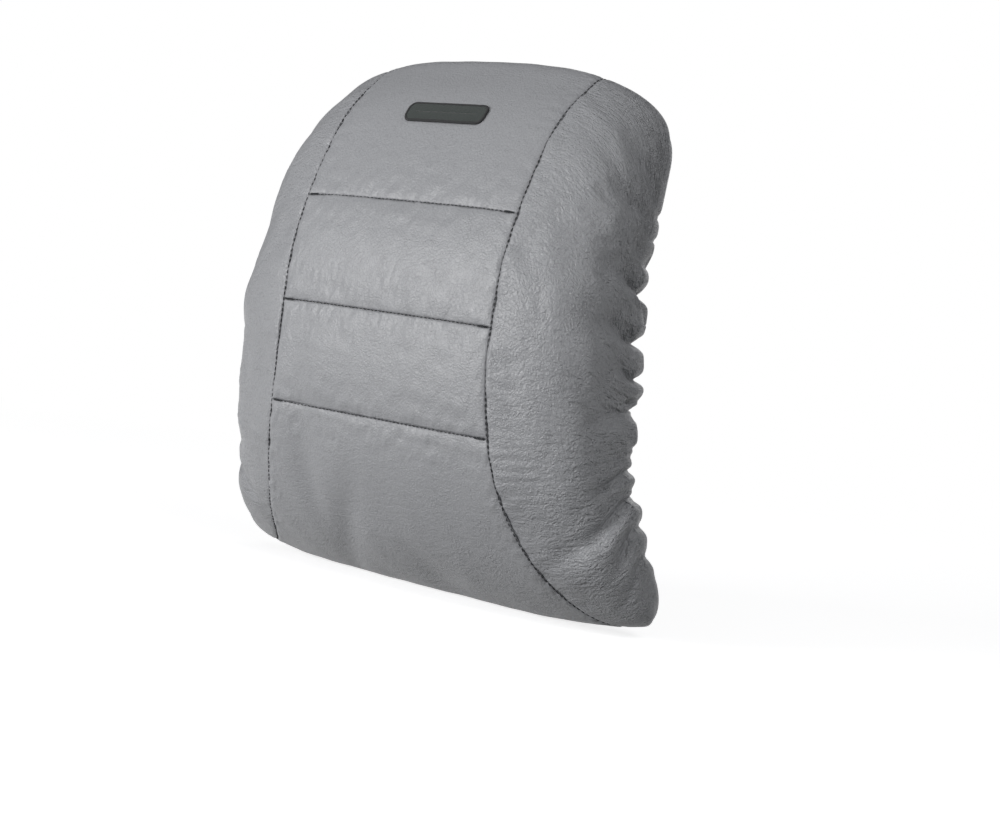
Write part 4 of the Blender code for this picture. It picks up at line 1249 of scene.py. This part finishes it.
def makeFloor():
    # A level floor; seen directly it glows so it reads near white, and further off it turns plain white
    reach = np.linspace(-studio["floorReach"], studio["floorReach"], 9)
    x, y = np.meshgrid(reach, reach, indexing="xy")
    grid = np.stack([x, y, 0 * x + cadLow.z - 0.0004], axis=-1)
    n = Nodes("paleFloor", studio["floorColor"], 0.9)
    tree = n.tree
    path = n.add("LightPath").outputs
    seen = n.math("MAXIMUM", path["Is Camera Ray"], n.math("MAXIMUM", path["Is Glossy Ray"],
                                                          path["Is Transmission Ray"]))
    glow = n.add("Emission", {"Color": (1.0, 1.0, 1.0, 1.0), "Strength": studio["floorGlow"]})
    shown = n.add("AddShader", {0: glow.outputs[0]})
    pale = n.add("BsdfDiffuse", {"Color": (*studio["floorColor"], 1.0)})
    tree.links.new(pale.outputs[0], shown.inputs[1])
    white = n.add("Emission", {"Color": (1.0, 1.0, 1.0, 1.0), "Strength": 1.0})
    level = n.scaled(n.object, (1.0, 1.0, 0.0))
    distance = n.add("VectorMath", {0: level}, operation="LENGTH").outputs["Value"]
    away = n.add("MixShader", {0: n.ramp(distance, studio["floorNear"], studio["floorFar"])})
    tree.links.new(shown.outputs[0], away.inputs[1])
    tree.links.new(white.outputs[0], away.inputs[2])
    dark = n.add("BsdfDiffuse", {"Color": (*[studio["bounce"]] * 3, 1.0)})
    mix = n.add("MixShader", {0: seen})
    tree.links.new(dark.outputs[0], mix.inputs[1])
    tree.links.new(away.outputs[0], mix.inputs[2])
    tree.links.new(mix.outputs[0], tree.nodes["Material Output"].inputs["Surface"])
    floor = meshObject("studio_floor", grid, gridFaces(*grid.shape[:2]), n.material)


def aimed(azimuth, elevation, distance, target):
    # Axes and place of something that stands round the target and looks at it down its own -Z
    a, e = math.radians(azimuth), math.radians(elevation)
    back = Vector((math.sin(a) * math.cos(e), -math.cos(a) * math.cos(e), math.sin(e)))
    right = Vector((math.cos(a), math.sin(a), 0.0))
    up = back.cross(right)
    return right, up, back, Vector(target) + back * distance


def placed(right, up, back, place):
    matrix = Matrix((right, up, back)).transposed().to_4x4()
    matrix.translation = place
    return matrix


def addLamp(name, azimuth, elevation, distance, size, power):
    lamp = bpy.data.lights.new(name, "AREA")
    lamp.shape = "SQUARE"
    lamp.size = size
    lamp.energy = power
    obj = bpy.data.objects.new(name, lamp)
    obj.matrix_world = placed(*aimed(azimuth, elevation, distance, (0.0, -0.04, 0.0)))
    bpy.context.scene.collection.objects.link(obj)


def makeStudio():
    scene = bpy.context.scene
    world = bpy.data.worlds.new("softRoom")
    scene.world = world
    world.use_nodes = True
    tree = world.node_tree
    shade = tree.nodes["Background"]
    path = tree.nodes.new("ShaderNodeLightPath")
    white = tree.nodes.new("ShaderNodeBackground")
    white.inputs["Strength"].default_value = 1.0
    white.inputs["Color"].default_value = (1.0, 1.0, 1.0, 1.0)
    shade.inputs["Color"].default_value = (0.97, 0.98, 1.0, 1.0)
    shade.inputs["Strength"].default_value = studio["skyFill"]
    mix = tree.nodes.new("ShaderNodeMixShader")
    tree.links.new(path.outputs["Is Camera Ray"], mix.inputs[0])
    tree.links.new(shade.outputs[0], mix.inputs[1])
    tree.links.new(white.outputs[0], mix.inputs[2])
    tree.links.new(mix.outputs[0], tree.nodes["World Output"].inputs["Surface"])
    for name, setting in studio["lamps"].items():
        addLamp(name, *setting)
    scene.view_settings.view_transform = "Standard"


def makeCamera():
    form = camera
    data = bpy.data.cameras.new("camera")
    data.lens = form["lens"]
    data.sensor_width = form["sensor"]
    data.clip_start = 0.01
    x, y, height = form["target"]
    right, up, back, place = aimed(form["azimuth"], form["elevation"], form["distance"], (x, y, zOf(height)))
    roll = math.radians(form["roll"])
    tiltedRight = right * math.cos(roll) + up * math.sin(roll)
    tiltedUp = up * math.cos(roll) - right * math.sin(roll)
    obj = bpy.data.objects.new("camera", data)
    obj.matrix_world = placed(tiltedRight, tiltedUp, back, place)
    bpy.context.scene.collection.objects.link(obj)
    bpy.context.scene.camera = obj


makeFloor()
makeStudio()
makeCamera()
print("studio lit, camera set")
